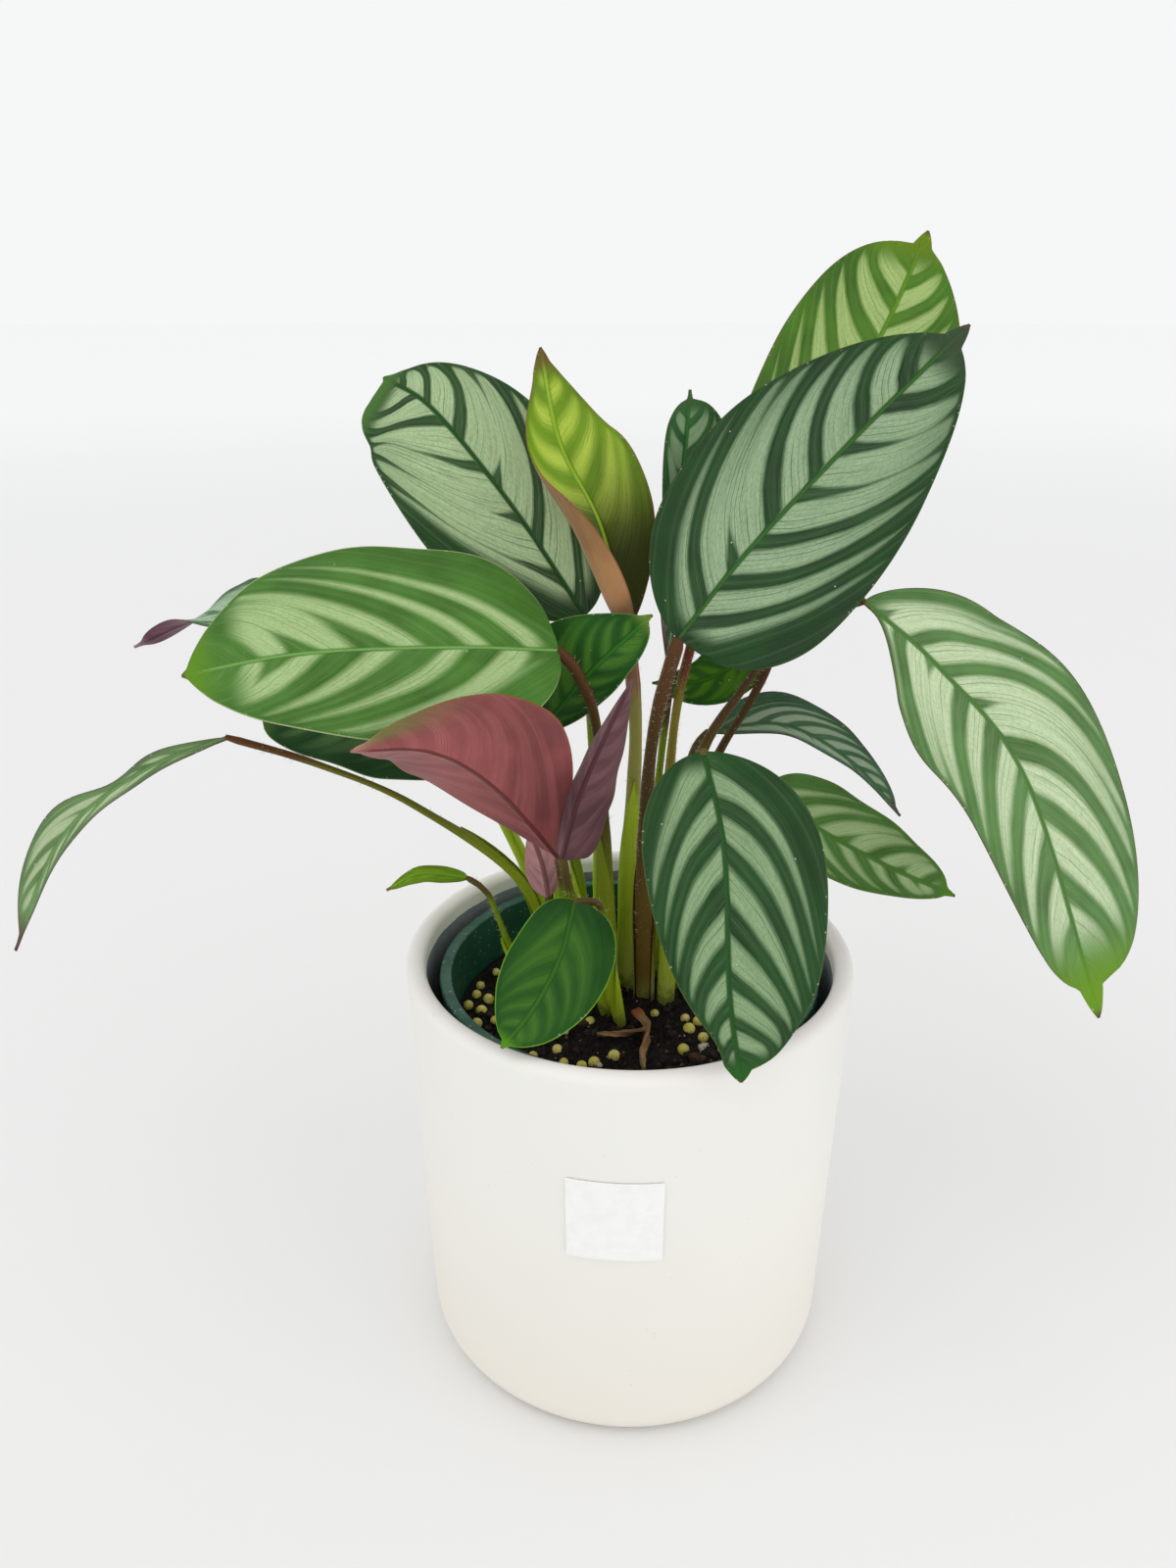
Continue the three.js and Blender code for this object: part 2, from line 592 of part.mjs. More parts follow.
// Blade: the same triangles on its upper and under face, closed round the edge
function blade(name, leaf) {
  const rows = leaf.small ? 6 : BLADE_ROWS;
  const columns = leaf.small ? 2 : leaf.columns ?? BLADE_COLUMNS;
  const grid = bladeGrid(leaf, rows, columns);
  const wide = 2 * columns + 1;
  const upper = [];
  const under = [];
  for (let i = 0; i <= rows; i += 1) {
    for (let j = 0; j < wide; j += 1) {
      const along = grid[Math.min(i + 1, rows)][j].clone().sub(grid[Math.max(i - 1, 0)][j]);
      const across = grid[i][Math.min(j + 1, wide - 1)].clone().sub(grid[i][Math.max(j - 1, 0)]);
      const half = across.cross(along).setLength(BLADE_THICKNESS / 2);
      upper.push(grid[i][j].clone().add(half));
      under.push(grid[i][j].clone().sub(half));
    }
  }
  const shift = upper.length;
  const faces = [];
  const quad = (a, b, c, d) => faces.push(a, b, c, a, c, d);
  for (let i = 0; i < rows; i += 1) {
    for (let j = 0; j + 1 < wide; j += 1) {
      const a = i * wide + j;
      quad(a, a + 1, a + 1 + wide, a + wide);
      faces.push(a + shift, a + 1 + wide + shift, a + 1 + shift);
      faces.push(a + shift, a + wide + shift, a + 1 + wide + shift);
    }
    const left = i * wide;
    const right = left + wide - 1;
    quad(left, left + wide, left + wide + shift, left + shift);
    quad(right + wide, right, right + shift, right + wide + shift);
  }
  const tip = rows * wide;
  for (let j = 0; j + 1 < wide; j += 1) {
    quad(j + 1, j, j + shift, j + 1 + shift);
    quad(tip + j, tip + j + 1, tip + j + 1 + shift, tip + j + shift);
  }
  addPiece(`blade_${name}`, fromPoints([...upper, ...under], faces), leaf.finish);
}

// A flat strip that twists along a curve
function twistedStrip(points, width, thickness, turns, steps) {
  const curve = curveThrough(points);
  const rings = [];
  for (let i = 0; i <= steps; i += 1) {
    const share = i / steps;
    const along = curve.getTangentAt(share);
    const flat = new THREE.Vector3(0, 0, 1).cross(along).normalize();
    flat.applyAxisAngle(along, turns * Math.PI * share);
    const thick = new THREE.Vector3().crossVectors(along, flat);
    const half = (width / 2) * (1 - 0.5 * share);
    const corner = (a, b) => curve.getPointAt(share)
      .addScaledVector(flat, a * half)
      .addScaledVector(thick, (b * thickness) / 2);
    rings.push([corner(1, 1), corner(-1, 1), corner(-1, -1), corner(1, -1)]);
  }
  return skin(rings);
}

function driedStrip() {
  const main = twistedStrip(DRIED_STRIP, DRIED_WIDTH, DRIED_THICKNESS, DRIED_TURNS, 12);
  const shred = twistedStrip(DRIED_SHRED, DRIED_SHRED_WIDTH, DRIED_THICKNESS, 1, 5);
  addPiece('dried_strip', geometryOf(solid(main).add(solid(shred))), 'dried');
}

// Label: a small blank square of paper on the front of the cover pot
function label() {
  const rings = [];
  for (let i = 0; i <= LABEL_STEPS; i += 1) {
    const x = LABEL_PLACE.x + LABEL_WIDTH * (i / LABEL_STEPS - 0.5);
    const angle = Math.asin(x / POT_RIM_RADIUS);
    const ring = [];
    for (const [side, out] of [[-1, 0], [1, 0], [1, 1], [-1, 1]]) {
      const z = LABEL_PLACE.z + (side * LABEL_WIDTH) / 2;
      const radius = potOutside(z) + FIT + out * LABEL_THICKNESS;
      ring.push(new THREE.Vector3(radius * Math.sin(angle), -radius * Math.cos(angle), z));
    }
    rings.push(ring);
  }
  addPiece('label', skin(rings), 'paper');
}

coverPot();
nurseryPot();
soil(Object.values(LEAVES).map(stalkHole));
for (const [name, leaf] of Object.entries(LEAVES)) {
  stalk(name, leaf);
  blade(name, leaf);
}
driedStrip();
label();

export default group;
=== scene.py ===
# A potted prayer plant: the looks built round its solids. Lengths are in millimetres in the
# same frame as the solids, +Z up and the front towards -Y, and a mesh is made in metres.
import math

import bmesh
import bpy
import numpy as np
from mathutils import Matrix, Vector


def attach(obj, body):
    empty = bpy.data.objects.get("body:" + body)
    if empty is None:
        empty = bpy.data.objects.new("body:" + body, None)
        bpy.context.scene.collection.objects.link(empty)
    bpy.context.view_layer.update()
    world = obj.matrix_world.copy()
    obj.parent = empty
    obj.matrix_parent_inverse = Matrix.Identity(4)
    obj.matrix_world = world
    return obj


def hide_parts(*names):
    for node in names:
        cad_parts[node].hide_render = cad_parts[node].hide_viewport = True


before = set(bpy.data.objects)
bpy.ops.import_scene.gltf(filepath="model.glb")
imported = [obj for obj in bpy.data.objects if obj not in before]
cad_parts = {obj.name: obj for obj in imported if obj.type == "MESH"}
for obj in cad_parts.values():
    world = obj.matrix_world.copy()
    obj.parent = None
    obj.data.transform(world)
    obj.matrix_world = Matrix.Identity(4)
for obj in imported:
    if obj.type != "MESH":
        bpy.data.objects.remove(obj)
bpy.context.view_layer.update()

MM = 0.001

# Driving dimensions of the pots and the soil
POT_HEIGHT = 148
POT_RIM_RADIUS = 76
POT_FOOT_RADIUS = 72.5
POT_WALL = 6.5
POT_FLOOR = 9
POT_CORNER = 9
POT_INNER_GREY_TOP = 141.5  # the inner wall is grey below this height
POT_SIDES = 160
NURSERY_RIM_RADIUS = 65
NURSERY_RIM_HEIGHT = 140
NURSERY_RIM_EDGE = 0.7
NURSERY_LEDGE = 2.5
NURSERY_SKIRT = 12
NURSERY_WALL = 1.6
NURSERY_FOOT_RADIUS = 52
NURSERY_FLOOR = 2.5
NURSERY_SIDES = 120
NURSERY_HOLES = 6
NURSERY_HOLE_RADIUS = 5
NURSERY_HOLE_CIRCLE = 36
FIT = 0.3
SOIL_HEIGHT = 122
SOIL_BUMP = 1.2
SOIL_RINGS = 66
SOIL_SIDES = 200
SOIL_BITS_REACH = 52
SOIL_BITS_CLEARANCE = 4.5
MORE_BITS = 900
CRUMBS_AT_STALK = 14
STALK_ROOT_DEPTH = 14
PRILL_RADIUS = 2.1
GRIT_RADIUS = 1.3
BARK_SIZE = (6, 4, 2.4)
LABEL_WIDTH = 30
LABEL_THICKNESS = 0.4
LABEL_PLACE = (-6, 95)
LABEL_STEPS = 24

# Driving dimensions of the leaves
BLADE_HALF = 0.2
MARGIN_HALF = 0.1
RIB_HEIGHT = 0.8
PLEAT = 0.22
RIPPLE = 0.7
DRIP_LENGTH = 0.08
WAIST_LENGTH = 0.13
STALK_STEPS = 46
STALK_SIDES = 14
SHEATH_GRID = (20, 9)
SHEATH_END = 0.3
STEM_START = 0.75
JOINT_START = 0.85
SHEATH_LIFT = 0.9
SHEATH_THICKNESS = 0.25
HAIR_LENGTH = 1.5
HAIR_RADIUS = 0.1
SHEEN = 0.017  # light that a leaf or stalk sends back from its surface

# The dried strip
DRIED_STRIP = [(2, -10, 128), (6, -15, 125.6), (6, -21, 124.6), (4, -30, 124.5), (4, -39, 124.5)]
DRIED_SHRED = [(6.5, -17, 125.3), (-2, -19, 124.6), (-11, -19, 124.2)]
DRIED_WIDTH = 3.4
DRIED_SHRED_WIDTH = 2.6
DRIED_THICKNESS = 1.0
DRIED_TURNS = 1.5

# The stage
FLOOR_REACH = 20000
FLOOR_SIDES = 96
WORLD_LIGHT = 0.93
LAMPS = {"key": ((-1100, -800, 1900), 1600, 6.4), "fill": ((1400, -800, 900), 1500, 4.4)}
LENS = 27
FILM_WIDTH = 36
CAMERA_PLACE = (-14, -353, 353)
CAMERA_TILT = 67.6

# Colours of a stalk: its sheath, its stem and the joint at the leaf
STALK_COLOURS = {
    "green": ((182, 208, 58), (132, 160, 44), (100, 84, 50)),
    "olive": ((150, 170, 50), (114, 114, 40), (104, 70, 42)),
    "brown": ((140, 156, 48), (88, 68, 40), (92, 62, 42)),
    "bark": ((112, 92, 50), (88, 68, 42), (92, 62, 42)),
    "reddish": ((180, 206, 58), (150, 140, 56), (124, 70, 50)),
    "pinkish": ((182, 208, 62), (158, 156, 82), (162, 114, 94)),
}

# Each leaf: the points of its midrib from the stalk to the tip, the way its upper face looks, the
# form of its two halves, where its stalk leaves the soil, the points that the stalk goes by, and its
# radius at the foot and at the top.
# A half's form: half width, place of greatest width, fullness at the base and at the tip, fold up
# from flat, curl at the base and at the tip, and the place and depth of a waist.
# A pattern: how many bands, the dark share of them, how far the light ones fade towards the margin,
# how soft their edges are, and the share of the half width that they reach.
# Tints as seen by eye, red, green and blue from 0 to 255: dark, light, midrib, margin, tip, underside.
# What only some leaves have: a kind other than mid, a twist from the base to the tip in degrees, the
# name of the stalk's colours, its count of hairs, a slant that makes the veins run more along the
# blade, the share of the length at which the body ends, the width of the drip tip, the share past
# which the face is plain, an olive tint at the base, a flush on the underside, and fewer columns of
# points on each side of the midrib of a small blade.
TINTS = ("dark", "light", "ribbed", "margin", "tip", "under")
COMMON = dict(twist=(0, 0), skin="green", hairs=60, kind="mid", slant=1, body=0.955, drip=0.14,
              plain=0.905, columns=13)
LEAVES = {}


def grow(name, tints, **form):
    """Notes a leaf, with what it has in common with most"""
    LEAVES[name] = {**COMMON, **form, **dict(zip(TINTS, tints))}


grow("back_top",
     rib=[(23, 37, 251), (53, 56, 292), (83, 71, 338), (99, 78, 374)], face=(-0.25, -0.75, 0.6),
     left=(32, 0.65, 0.5, 0.4, 8, -6, -6), right=(40, 0.42, 0.7, 0.7, 8, -6, -6),
     soil=(10, 20), by=[(14, 25, 197), (17, 30, 227)], radius=(3, 1.5), skin="reddish", hairs=260,
     pattern=(8, 0.42, 0.25, 0.12, 0.86), kind="lime",
     tints=((78, 126, 14), (180, 204, 130), (104, 150, 40), (120, 96, 50), (110, 136, 34), (120, 80, 80)))
grow("big_right",
     rib=[(14, 0, 256), (34, 8, 280), (66, 20, 312), (100, 24, 346)], face=(-0.15, -0.85, 0.5),
     left=(35, 0.52, 0.5, 0.7, 6, -8, -8), right=(37, 0.4, 0.4, 0.55, 10, -12, -12),
     soil=(6, 3), by=[(5, 1, 189), (7, -2, 227)], radius=(3.2, 2), skin="bark", hairs=420,
     pattern=(7, 0.42, 0.45, 0.12, 0.93), kind="dark",
     tints=((38, 72, 36), (158, 182, 144), (62, 106, 48), (70, 84, 50), (66, 82, 60), (110, 55, 70)))
grow("drooping_right",
     rib=[(69, -5, 269), (91, -14, 251), (115, -32, 222), (136, -60, 158)], face=(0.25, -0.8, 0.5),
     left=(31, 0.62, 0.4, 0.35, 8, -6, -6), right=(27, 0.57, 1.5, 0.45, 8, -6, -6),
     soil=(15, 11), by=[(21, 13, 202), (37, 14, 236), (54, 8, 261)], radius=(3, 1.3), skin="brown",
     hairs=120,
     pattern=(8, 0.46, 0.3, 0.16, 0.94), drip=0.22,
     tints=((90, 132, 72), (204, 220, 180), (84, 128, 62), (96, 84, 66), (110, 154, 18), (110, 60, 72)))
grow("behind_centre",
     rib=[(14, 31, 234), (11, 35, 264), (17, 42, 302), (19, 47, 326)], face=(-0.2, -0.9, 0.3),
     twist=(115, -10),
     left=(8, 0.7, 0.7, 0.5, 10, 10, 10), right=(17, 0.62, 0.7, 0.35, 24, 10, 10),
     soil=(3, 28), by=[(9, 30, 176), (12, 31, 210)], radius=(2.8, 1.3),
     pattern=(7, 0.42, 0.3, 0.14, 0.9), kind="dark", slant=1.4,
     tints=((56, 102, 56), (146, 172, 132), (62, 118, 60), (90, 96, 70), (72, 104, 62), (116, 66, 72)))
grow("rolled_young",
     rib=[(-1, 24, 253), (-10, 28, 286), (-23, 34, 311), (-29, 42, 339)], face=(0.1, -0.9, 0.4),
     left=(26, 0.36, 0.6, 1.2, 0, 215, 10), right=(20, 0.5, 0.7, 0.95, 10, -10, -5),
     soil=(0, 12), by=[(1, 16, 183), (2, 20, 221)], radius=(3.4, 2.2), skin="pinkish",
     pattern=(6, 0.5, 0.5, 0.4, 0.95), kind="lime", base=(70, 76, 6),
     tints=((112, 152, 2), (186, 206, 84), (150, 186, 60), (140, 96, 66), (110, 84, 50), (192, 142, 96)))
grow("upper_left",
     rib=[(-15, 25, 257), (-39, 40, 290), (-65, 54, 319), (-82, 60, 329)], face=(-0.1, -0.85, 0.5),
     left=(31, 0.4, 0.8, 0.2, 6, -6, -6), right=(27, 0.4, 0.7, 1.15, 6, -6, -6),
     soil=(-9, 24), by=[(-10, 26, 178), (-13, 26, 219)], radius=(2.8, 1.5),
     pattern=(6, 0.31, 0.15, 0.08, 0.97), kind="dark", body=0.985,
     tints=((40, 74, 34), (180, 204, 156), (46, 84, 42), (84, 116, 70), (80, 120, 60), (110, 60, 72)))
grow("broad_left",
     rib=[(-23, -6, 254), (-54, -17, 258), (-94, -34, 261), (-126, -42, 257)], face=(-0.1, -0.6, 0.8),
     left=(34, 0.43, 0.55, 0.7, 4, -10, -6), right=(42, 0.41, 0.45, 0.65, 4, -10, -6),
     soil=(-7, 6), by=[(-8, 6, 168), (-11, 1, 224), (-17, -3, 245)], radius=(3, 1.6), skin="brown",
     pattern=(6, 0.62, 0.35, 0.22, 0.9), body=0.985, plain=0.84,
     tints=((76, 124, 50), (176, 200, 142), (120, 166, 90), (170, 180, 130), (98, 142, 30), (116, 66, 72)))
grow("under_left",
     rib=[(-30, 4, 228), (-68, 4, 228), (-94, 2, 229), (-120, -2, 232)], face=(-0.1, -0.5, 0.85),
     left=(25, 0.36, 1.1, 0.4, 4, -6, -6), right=(24, 0.5, 0.6, 0.7, 4, -6, -6),
     soil=(-19, 18), by=[(-27, 14, 184), (-30, 8, 212)], radius=(2.6, 1.5),
     pattern=(6, 0.6, 0.8, 0.3, 0.8), kind="dark",
     tints=((40, 82, 40), (92, 130, 76), (52, 108, 50), (96, 120, 60), (80, 120, 40), (104, 60, 66)))
grow("maroon_left",
     rib=[(-23, -17, 189), (-41, -34, 220), (-57, -51, 238), (-76, -66, 244)], face=(-0.35, 0.8, 0.5),
     left=(28, 0.45, 1.3, 0.8, 5, 10, 0), right=(19, 0.5, 1, 0.8, 25, 15, 0),
     soil=(-14, -1), by=[(-21, -8, 161), (-22, -13, 178)], radius=(2.4, 1.6), hairs=120,
     pattern=(7, 0.4, 0.3, 0.1, 0.88), kind="purple", flush=(112, 124, 62),
     tints=((46, 100, 50), (130, 160, 110), (60, 110, 50), (150, 92, 60), (196, 140, 130), (158, 86, 86)))
grow("small_centre",
     rib=[(-29, 11, 222), (-14, 8, 242), (6, 6, 262)], face=(0.1, -0.8, 0.6),
     left=(22, 0.41, 0.7, 0.8, 8, -6, -6), right=(10, 0.57, 0.5, 0.45, 8, -6, -6),
     soil=(-13, 13), by=[(-18, 12, 172), (-26, 12, 203)], radius=(2.6, 1.3),
     pattern=(6, 0.55, 0.6, 0.4, 0.85), kind="dark",
     tints=((44, 90, 22), (82, 128, 50), (60, 116, 44), (110, 140, 70), (110, 140, 60), (104, 60, 66)))
grow("mauve_centre",
     rib=[(-22, -27, 194), (-17, -29, 214), (-10, -26, 231), (-1, -20, 249)], face=(-0.3, 0.9, 0.2),
     left=(11, 0.25, 0.25, 0.6, -10, 15, 10), right=(6, 0.3, 0.3, 0.7, 80, 10, 0),
     soil=(-7, -5), by=[(-15, -16, 165), (-20, -24, 182)], radius=(2.2, 1.3),
     pattern=(6, 0.5, 0.4, 0.2, 0.9), kind="purple",
     tints=((38, 76, 44), (84, 110, 76), (90, 90, 60), (96, 84, 66), (110, 84, 90), (118, 80, 86)))
grow("pink_small",
     rib=[(-27, -12, 173), (-29, -10, 184), (-33, -8, 195)], face=(-0.2, 0.9, 0.3),
     left=(6, 0.4, 0.6, 0.7, 10, 10, 10), right=(6, 0.4, 0.6, 0.7, 10, 10, 10),
     soil=(-21, 5), by=[(-26, -3, 150), (-27, -9, 163)], radius=(1.8, 1),
     pattern=(4, 0.5, 0.4, 0.2, 0.9), kind="purple", columns=7,
     tints=((80, 130, 60), (140, 170, 110), (120, 150, 70),
            (190, 140, 130), (196, 150, 140), (206, 150, 152)))
grow("far_left",
     rib=[(-123, -20, 231), (-148, -27, 222), (-171, -35, 204), (-189, -40, 169)], face=(-0.2, -0.7, 0.65),
     left=(5.5, 0.6, 0.5, 0.8, 20, 5, 5), right=(8.5, 0.68, 0.45, 0.8, 15, 0, 0, 0.42, 0.65),
     soil=(-26, 12), by=[(-35, 4, 168), (-69, -6, 202), (-98, -14, 220)], radius=(2, 1), skin="olive",
     pattern=(8, 0.42, 0.2, 0.2, 0.92), slant=2.6,
     tints=((108, 144, 88), (190, 206, 166), (120, 160, 100), (104, 92, 96), (100, 76, 70), (112, 76, 88)))
grow("curled_far_left",
     rib=[(-103, 36, 259), (-127, 40, 256), (-149, 44, 251), (-172, 44, 241)], face=(0, -0.6, 0.8),
     twist=(-102, 115),
     left=(10, 0.4, 0.5, 0.6, 5, 5, 5), right=(10, 0.4, 0.5, 0.6, 5, 5, 5),
     soil=(-19, 27), by=[(-42, 30, 176), (-71, 32, 231)], radius=(2.4, 1),
     pattern=(7, 0.4, 0.2, 0.14, 0.95), slant=1.8,
     tints=((70, 116, 70), (176, 200, 170), (110, 150, 100), (96, 60, 70), (176, 150, 150), (110, 66, 84)))
grow("tiny_lime",
     rib=[(-54, -5, 176), (-69, -8, 179), (-80, -10, 174)], face=(0, -0.5, 0.85),
     left=(4, 0.45, 0.6, 0.7, 10, 0, 0), right=(3, 0.3, 0.6, 0.7, 10, 0, 0),
     soil=(-34, 0), by=[(-45, -4, 163), (-49, -5, 172)], radius=(2.2, 0.9),
     pattern=(4, 0.6, 0.6, 0.4, 0.8), kind="lime", slant=1.6, columns=7,
     tints=((124, 172, 30), (150, 192, 60), (130, 176, 50), (120, 130, 40), (130, 110, 40), (130, 150, 50)))
grow("oval_front",
     rib=[(-18, -40, 186), (-22, -50, 173), (-30, -60, 161), (-39, -68, 153)], face=(0, -0.75, 0.66),
     left=(16, 0.36, 0.55, 0.65, 6, -8, -8), right=(15, 0.46, 0.35, 0.55, 6, -8, -8),
     soil=(-3, -11), by=[(-7, -20, 153), (-10, -33, 180)], radius=(2, 1),
     pattern=(6, 0.5, 0.5, 0.6, 0.86),
     tints=((48, 92, 22), (76, 120, 48), (64, 112, 42), (120, 172, 50), (90, 150, 30), (90, 110, 50)))
grow("broad_front",
     rib=[(20, -30, 230), (24, -56, 211), (25, -76, 176), (29, -80, 150)], face=(-0.05, -0.85, 0.5),
     left=(28, 0.45, 0.65, 0.5, 8, -16, -16), right=(23, 0.35, 0.7, 1.5, 10, -16, -16),
     soil=(13, 2), by=[(15, -2, 173), (21, -17, 214)], radius=(2.6, 1.6),
     pattern=(7, 0.47, 0.3, 0.17, 0.9), kind="dark", drip=0.18,
     tints=((42, 78, 42), (148, 174, 132), (50, 90, 46), (80, 100, 60), (50, 100, 44), (176, 110, 124)))
grow("lower_right",
     rib=[(45, 5, 204), (63, 6, 189), (88, 5, 175), (111, 3, 165)], face=(0, -0.7, 0.7),
     left=(17, 0.42, 0.6, 0.5, 8, -6, -6), right=(15, 0.35, 0.75, 0.65, 8, -6, -6),
     soil=(22, 7), by=[(26, 9, 167), (37, 6, 198)], radius=(2.4, 1.2),
     pattern=(7, 0.52, 0.4, 0.26, 0.9),
     tints=((78, 126, 54), (170, 198, 142), (84, 134, 56), (110, 130, 70), (92, 140, 44), (110, 66, 72)))
grow("narrow_right",
     rib=[(29, 44, 210), (57, 50, 210), (83, 52, 195), (103, 50, 174)], face=(0, -0.7, 0.7),
     left=(12, 0.35, 1.2, 0.6, 10, 10, 0), right=(6, 0.35, 0.8, 1.2, 20, 20, 0),
     soil=(17, 23), by=[(17, 30, 177), (23, 40, 202)], radius=(2.4, 1.1),
     pattern=(8, 0.4, 0.2, 0.16, 0.92), kind="dark", slant=2.0,
     tints=((70, 112, 76), (170, 190, 160), (80, 120, 80), (84, 70, 80), (96, 84, 80), (80, 50, 66)))
grow("behind_right",
     rib=[(46.5, 54, 238), (38.5, 54, 231.5), (26, 52, 226), (9, 50, 226)], face=(0, -0.97, 0.25),
     left=(11, 0.42, 0.9, 0.5, 6, -6, -6), right=(10, 0.42, 0.9, 0.7, 6, -6, -6),
     soil=(17, 31), by=[(24, 34, 178), (32, 37, 203), (43.5, 40.5, 223), (50, 45, 237.5)],
     radius=(2.4, 1.42), skin="brown",
     pattern=(5, 0.5, 0.4, 0.3, 0.86),
     tints=((52, 106, 14), (92, 146, 22), (70, 120, 20), (80, 120, 30), (70, 110, 20), (104, 84, 50)))


# Curves and meshes

def smooth_step(value, low, high):
    part = np.clip((value - low) / (high - low), 0, 1)
    return part * part * (3 - 2 * part)


def unit(vectors):
    return vectors / np.maximum(np.linalg.norm(vectors, axis=-1, keepdims=True), 1e-9)


def turns(count):
    """Even angles round a circle"""
    return np.arange(count) * 2 * np.pi / count


def curve_points(points, shares):
    """An even Catmull-Rom curve through the points, carried on straight past both ends"""
    p = np.array(points, float)
    p = np.vstack([2 * p[0] - p[1], p, 2 * p[-1] - p[-2]])
    spans = len(p) - 3
    place = np.clip(shares, 0, 1) * spans
    i = np.minimum(place.astype(int), spans - 1)
    t = (place - i)[:, None]
    a, b, c, d = p[i], p[i + 1], p[i + 2], p[i + 3]
    start, end = (c - a) / 2, (d - b) / 2
    cube = 2 * b - 2 * c + start + end
    square = 3 * c - 3 * b - 2 * start - end
    return ((cube * t + square) * t + start) * t + b


def curve_run(points, shares):
    """The way that the curve runs at shares of its spans"""
    step = 0.002
    ahead = curve_points(points, np.minimum(shares + step, 1))
    return unit(ahead - curve_points(points, np.maximum(shares - step, 0)))


def even_points(points, shares):
    """The same curve by shares of its length, with the way it runs at each"""
    fine = np.linspace(0, 1, 400)
    line = curve_points(points, fine)
    run = np.concatenate([[0], np.cumsum(np.linalg.norm(np.diff(line, axis=0), axis=1))])
    place = np.interp(np.asarray(shares) * run[-1], run, fine)
    return curve_points(points, place), curve_run(points, place)


def turned_about(vectors, axes, angles):
    """Each vector turned about its axis, in radians"""
    c, s = np.cos(angles)[:, None], np.sin(angles)[:, None]
    along = np.sum(axes * vectors, axis=1)[:, None]
    return vectors * c + np.cross(axes, vectors) * s + axes * along * (1 - c)


def ring(radius, angles, z):
    """Points about the axis, at one height or at one for each angle"""
    return np.stack([radius * np.cos(angles), radius * np.sin(angles), z + 0 * angles], axis=-1)


def grid_faces(rows, columns, first=0, closed=False, flip=False):
    """Four-sided faces over a grid of points, row after row; closed joins the last column to the first"""
    faces = []
    for i in range(rows - 1):
        for j in range(columns if closed else columns - 1):
            k = (j + 1) % columns
            a, b = first + i * columns + j, first + i * columns + k
            face = (a, b, b + columns, a + columns)
            faces.append(face[::-1] if flip else face)
    return faces


def skin_faces(rows, columns):
    """Faces of two grids of points, one over the other, and of the border that joins them"""
    edge = [i * columns for i in range(rows)]
    edge += [(rows - 1) * columns + j for j in range(1, columns)]
    edge += [i * columns + columns - 1 for i in range(rows - 2, -1, -1)]
    edge += list(range(columns - 2, 0, -1))
    under = rows * columns
    border = [(a, b, b + under, a + under) for a, b in zip(edge, edge[1:] + edge[:1])]
    return grid_faces(rows, columns), grid_faces(rows, columns, under, flip=True), border


def tube_faces(rings, sides):
    """Faces of a tube of rings, closed by a flat face at each end"""
    last = range((rings - 1) * sides, rings * sides)
    return [*grid_faces(rings, sides, closed=True), tuple(range(sides))[::-1], tuple(last)]


def turned_faces(rings, sides):
    """Faces of rings about the axis, closed at each end by a point after them"""
    faces = grid_faces(rings, sides, closed=True)
    last = (rings - 1) * sides
    for j in range(sides):
        k = (j + 1) % sides
        faces.append((rings * sides, k, j))
        faces.append((rings * sides + 1, last + j, last + k))
    return faces


def make_object(name, points, faces, materials, worn=None, sharp=50, **marks):
    """A mesh object from points in millimetres; worn gives each face its material"""
    mesh = bpy.data.meshes.new(name)
    mesh.from_pydata((np.asarray(points, float) * MM).tolist(), [], faces)
    for material in materials:
        mesh.materials.append(material)
    if worn is not None:
        mesh.polygons.foreach_set("material_index", np.asarray(worn, np.int32))
    mesh.polygons.foreach_set("use_smooth", np.ones(len(mesh.polygons), bool))
    mesh.set_sharp_from_angle(angle=math.radians(sharp))
    for key, values in marks.items():
        layer = mesh.attributes.new(key, "FLOAT", "POINT")
        layer.data.foreach_set("value", np.asarray(values, np.float32).ravel())
    mesh.update()
    return placed(name, mesh)


def placed(name, data):
    made = bpy.data.objects.new(name, data)
    bpy.context.scene.collection.objects.link(made)
    return made


class Parts:
    """Points, faces and marks of one mesh, gathered part by part"""

    def __init__(self):
        self.faces = []
        self.worn = []
        self.marks = {}
        self.points = []
        self.count = 0

    def add(self, points, faces, worn=0, **marks):
        self.faces += [tuple(self.count + i for i in face) for face in faces]
        self.worn += [worn] * len(faces)
        self.points.append(points)
        self.count += len(points)
        for key, values in marks.items():
            self.marks.setdefault(key, []).append(values)

    def make(self, name, materials, sharp=50):
        marks = {key: np.concatenate(values) for key, values in self.marks.items()}
        points = np.concatenate(self.points)
        return make_object(name, points, self.faces, materials, self.worn, sharp, **marks)


def stand_for(made, node):
    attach(made, "root")
    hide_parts(node)


# Materials

def linear(colour):
    """A colour seen by eye, 0 to 255, as the light that a shader works with"""
    parts = [c / 255 for c in colour]
    return tuple(c / 12.92 if c < 0.04045 else ((c + 0.055) / 1.055) ** 2.4 for c in parts) + (1,)


def leaf_tint(colour):
    """A leaf's colour as a shader works with it, less the pale sheen that the light adds"""
    return tuple(max(c - SHEEN, 0.003) for c in linear(colour)[:3]) + (1,)


def sum_of(kind, turned=False):
    """A sum that a shader does"""
    def act(self, other=0):
        first, second = (other, self) if turned else (self, other)
        return self.look.node("ShaderNodeMath", {0: first, 1: second}, operation=kind)
    return act


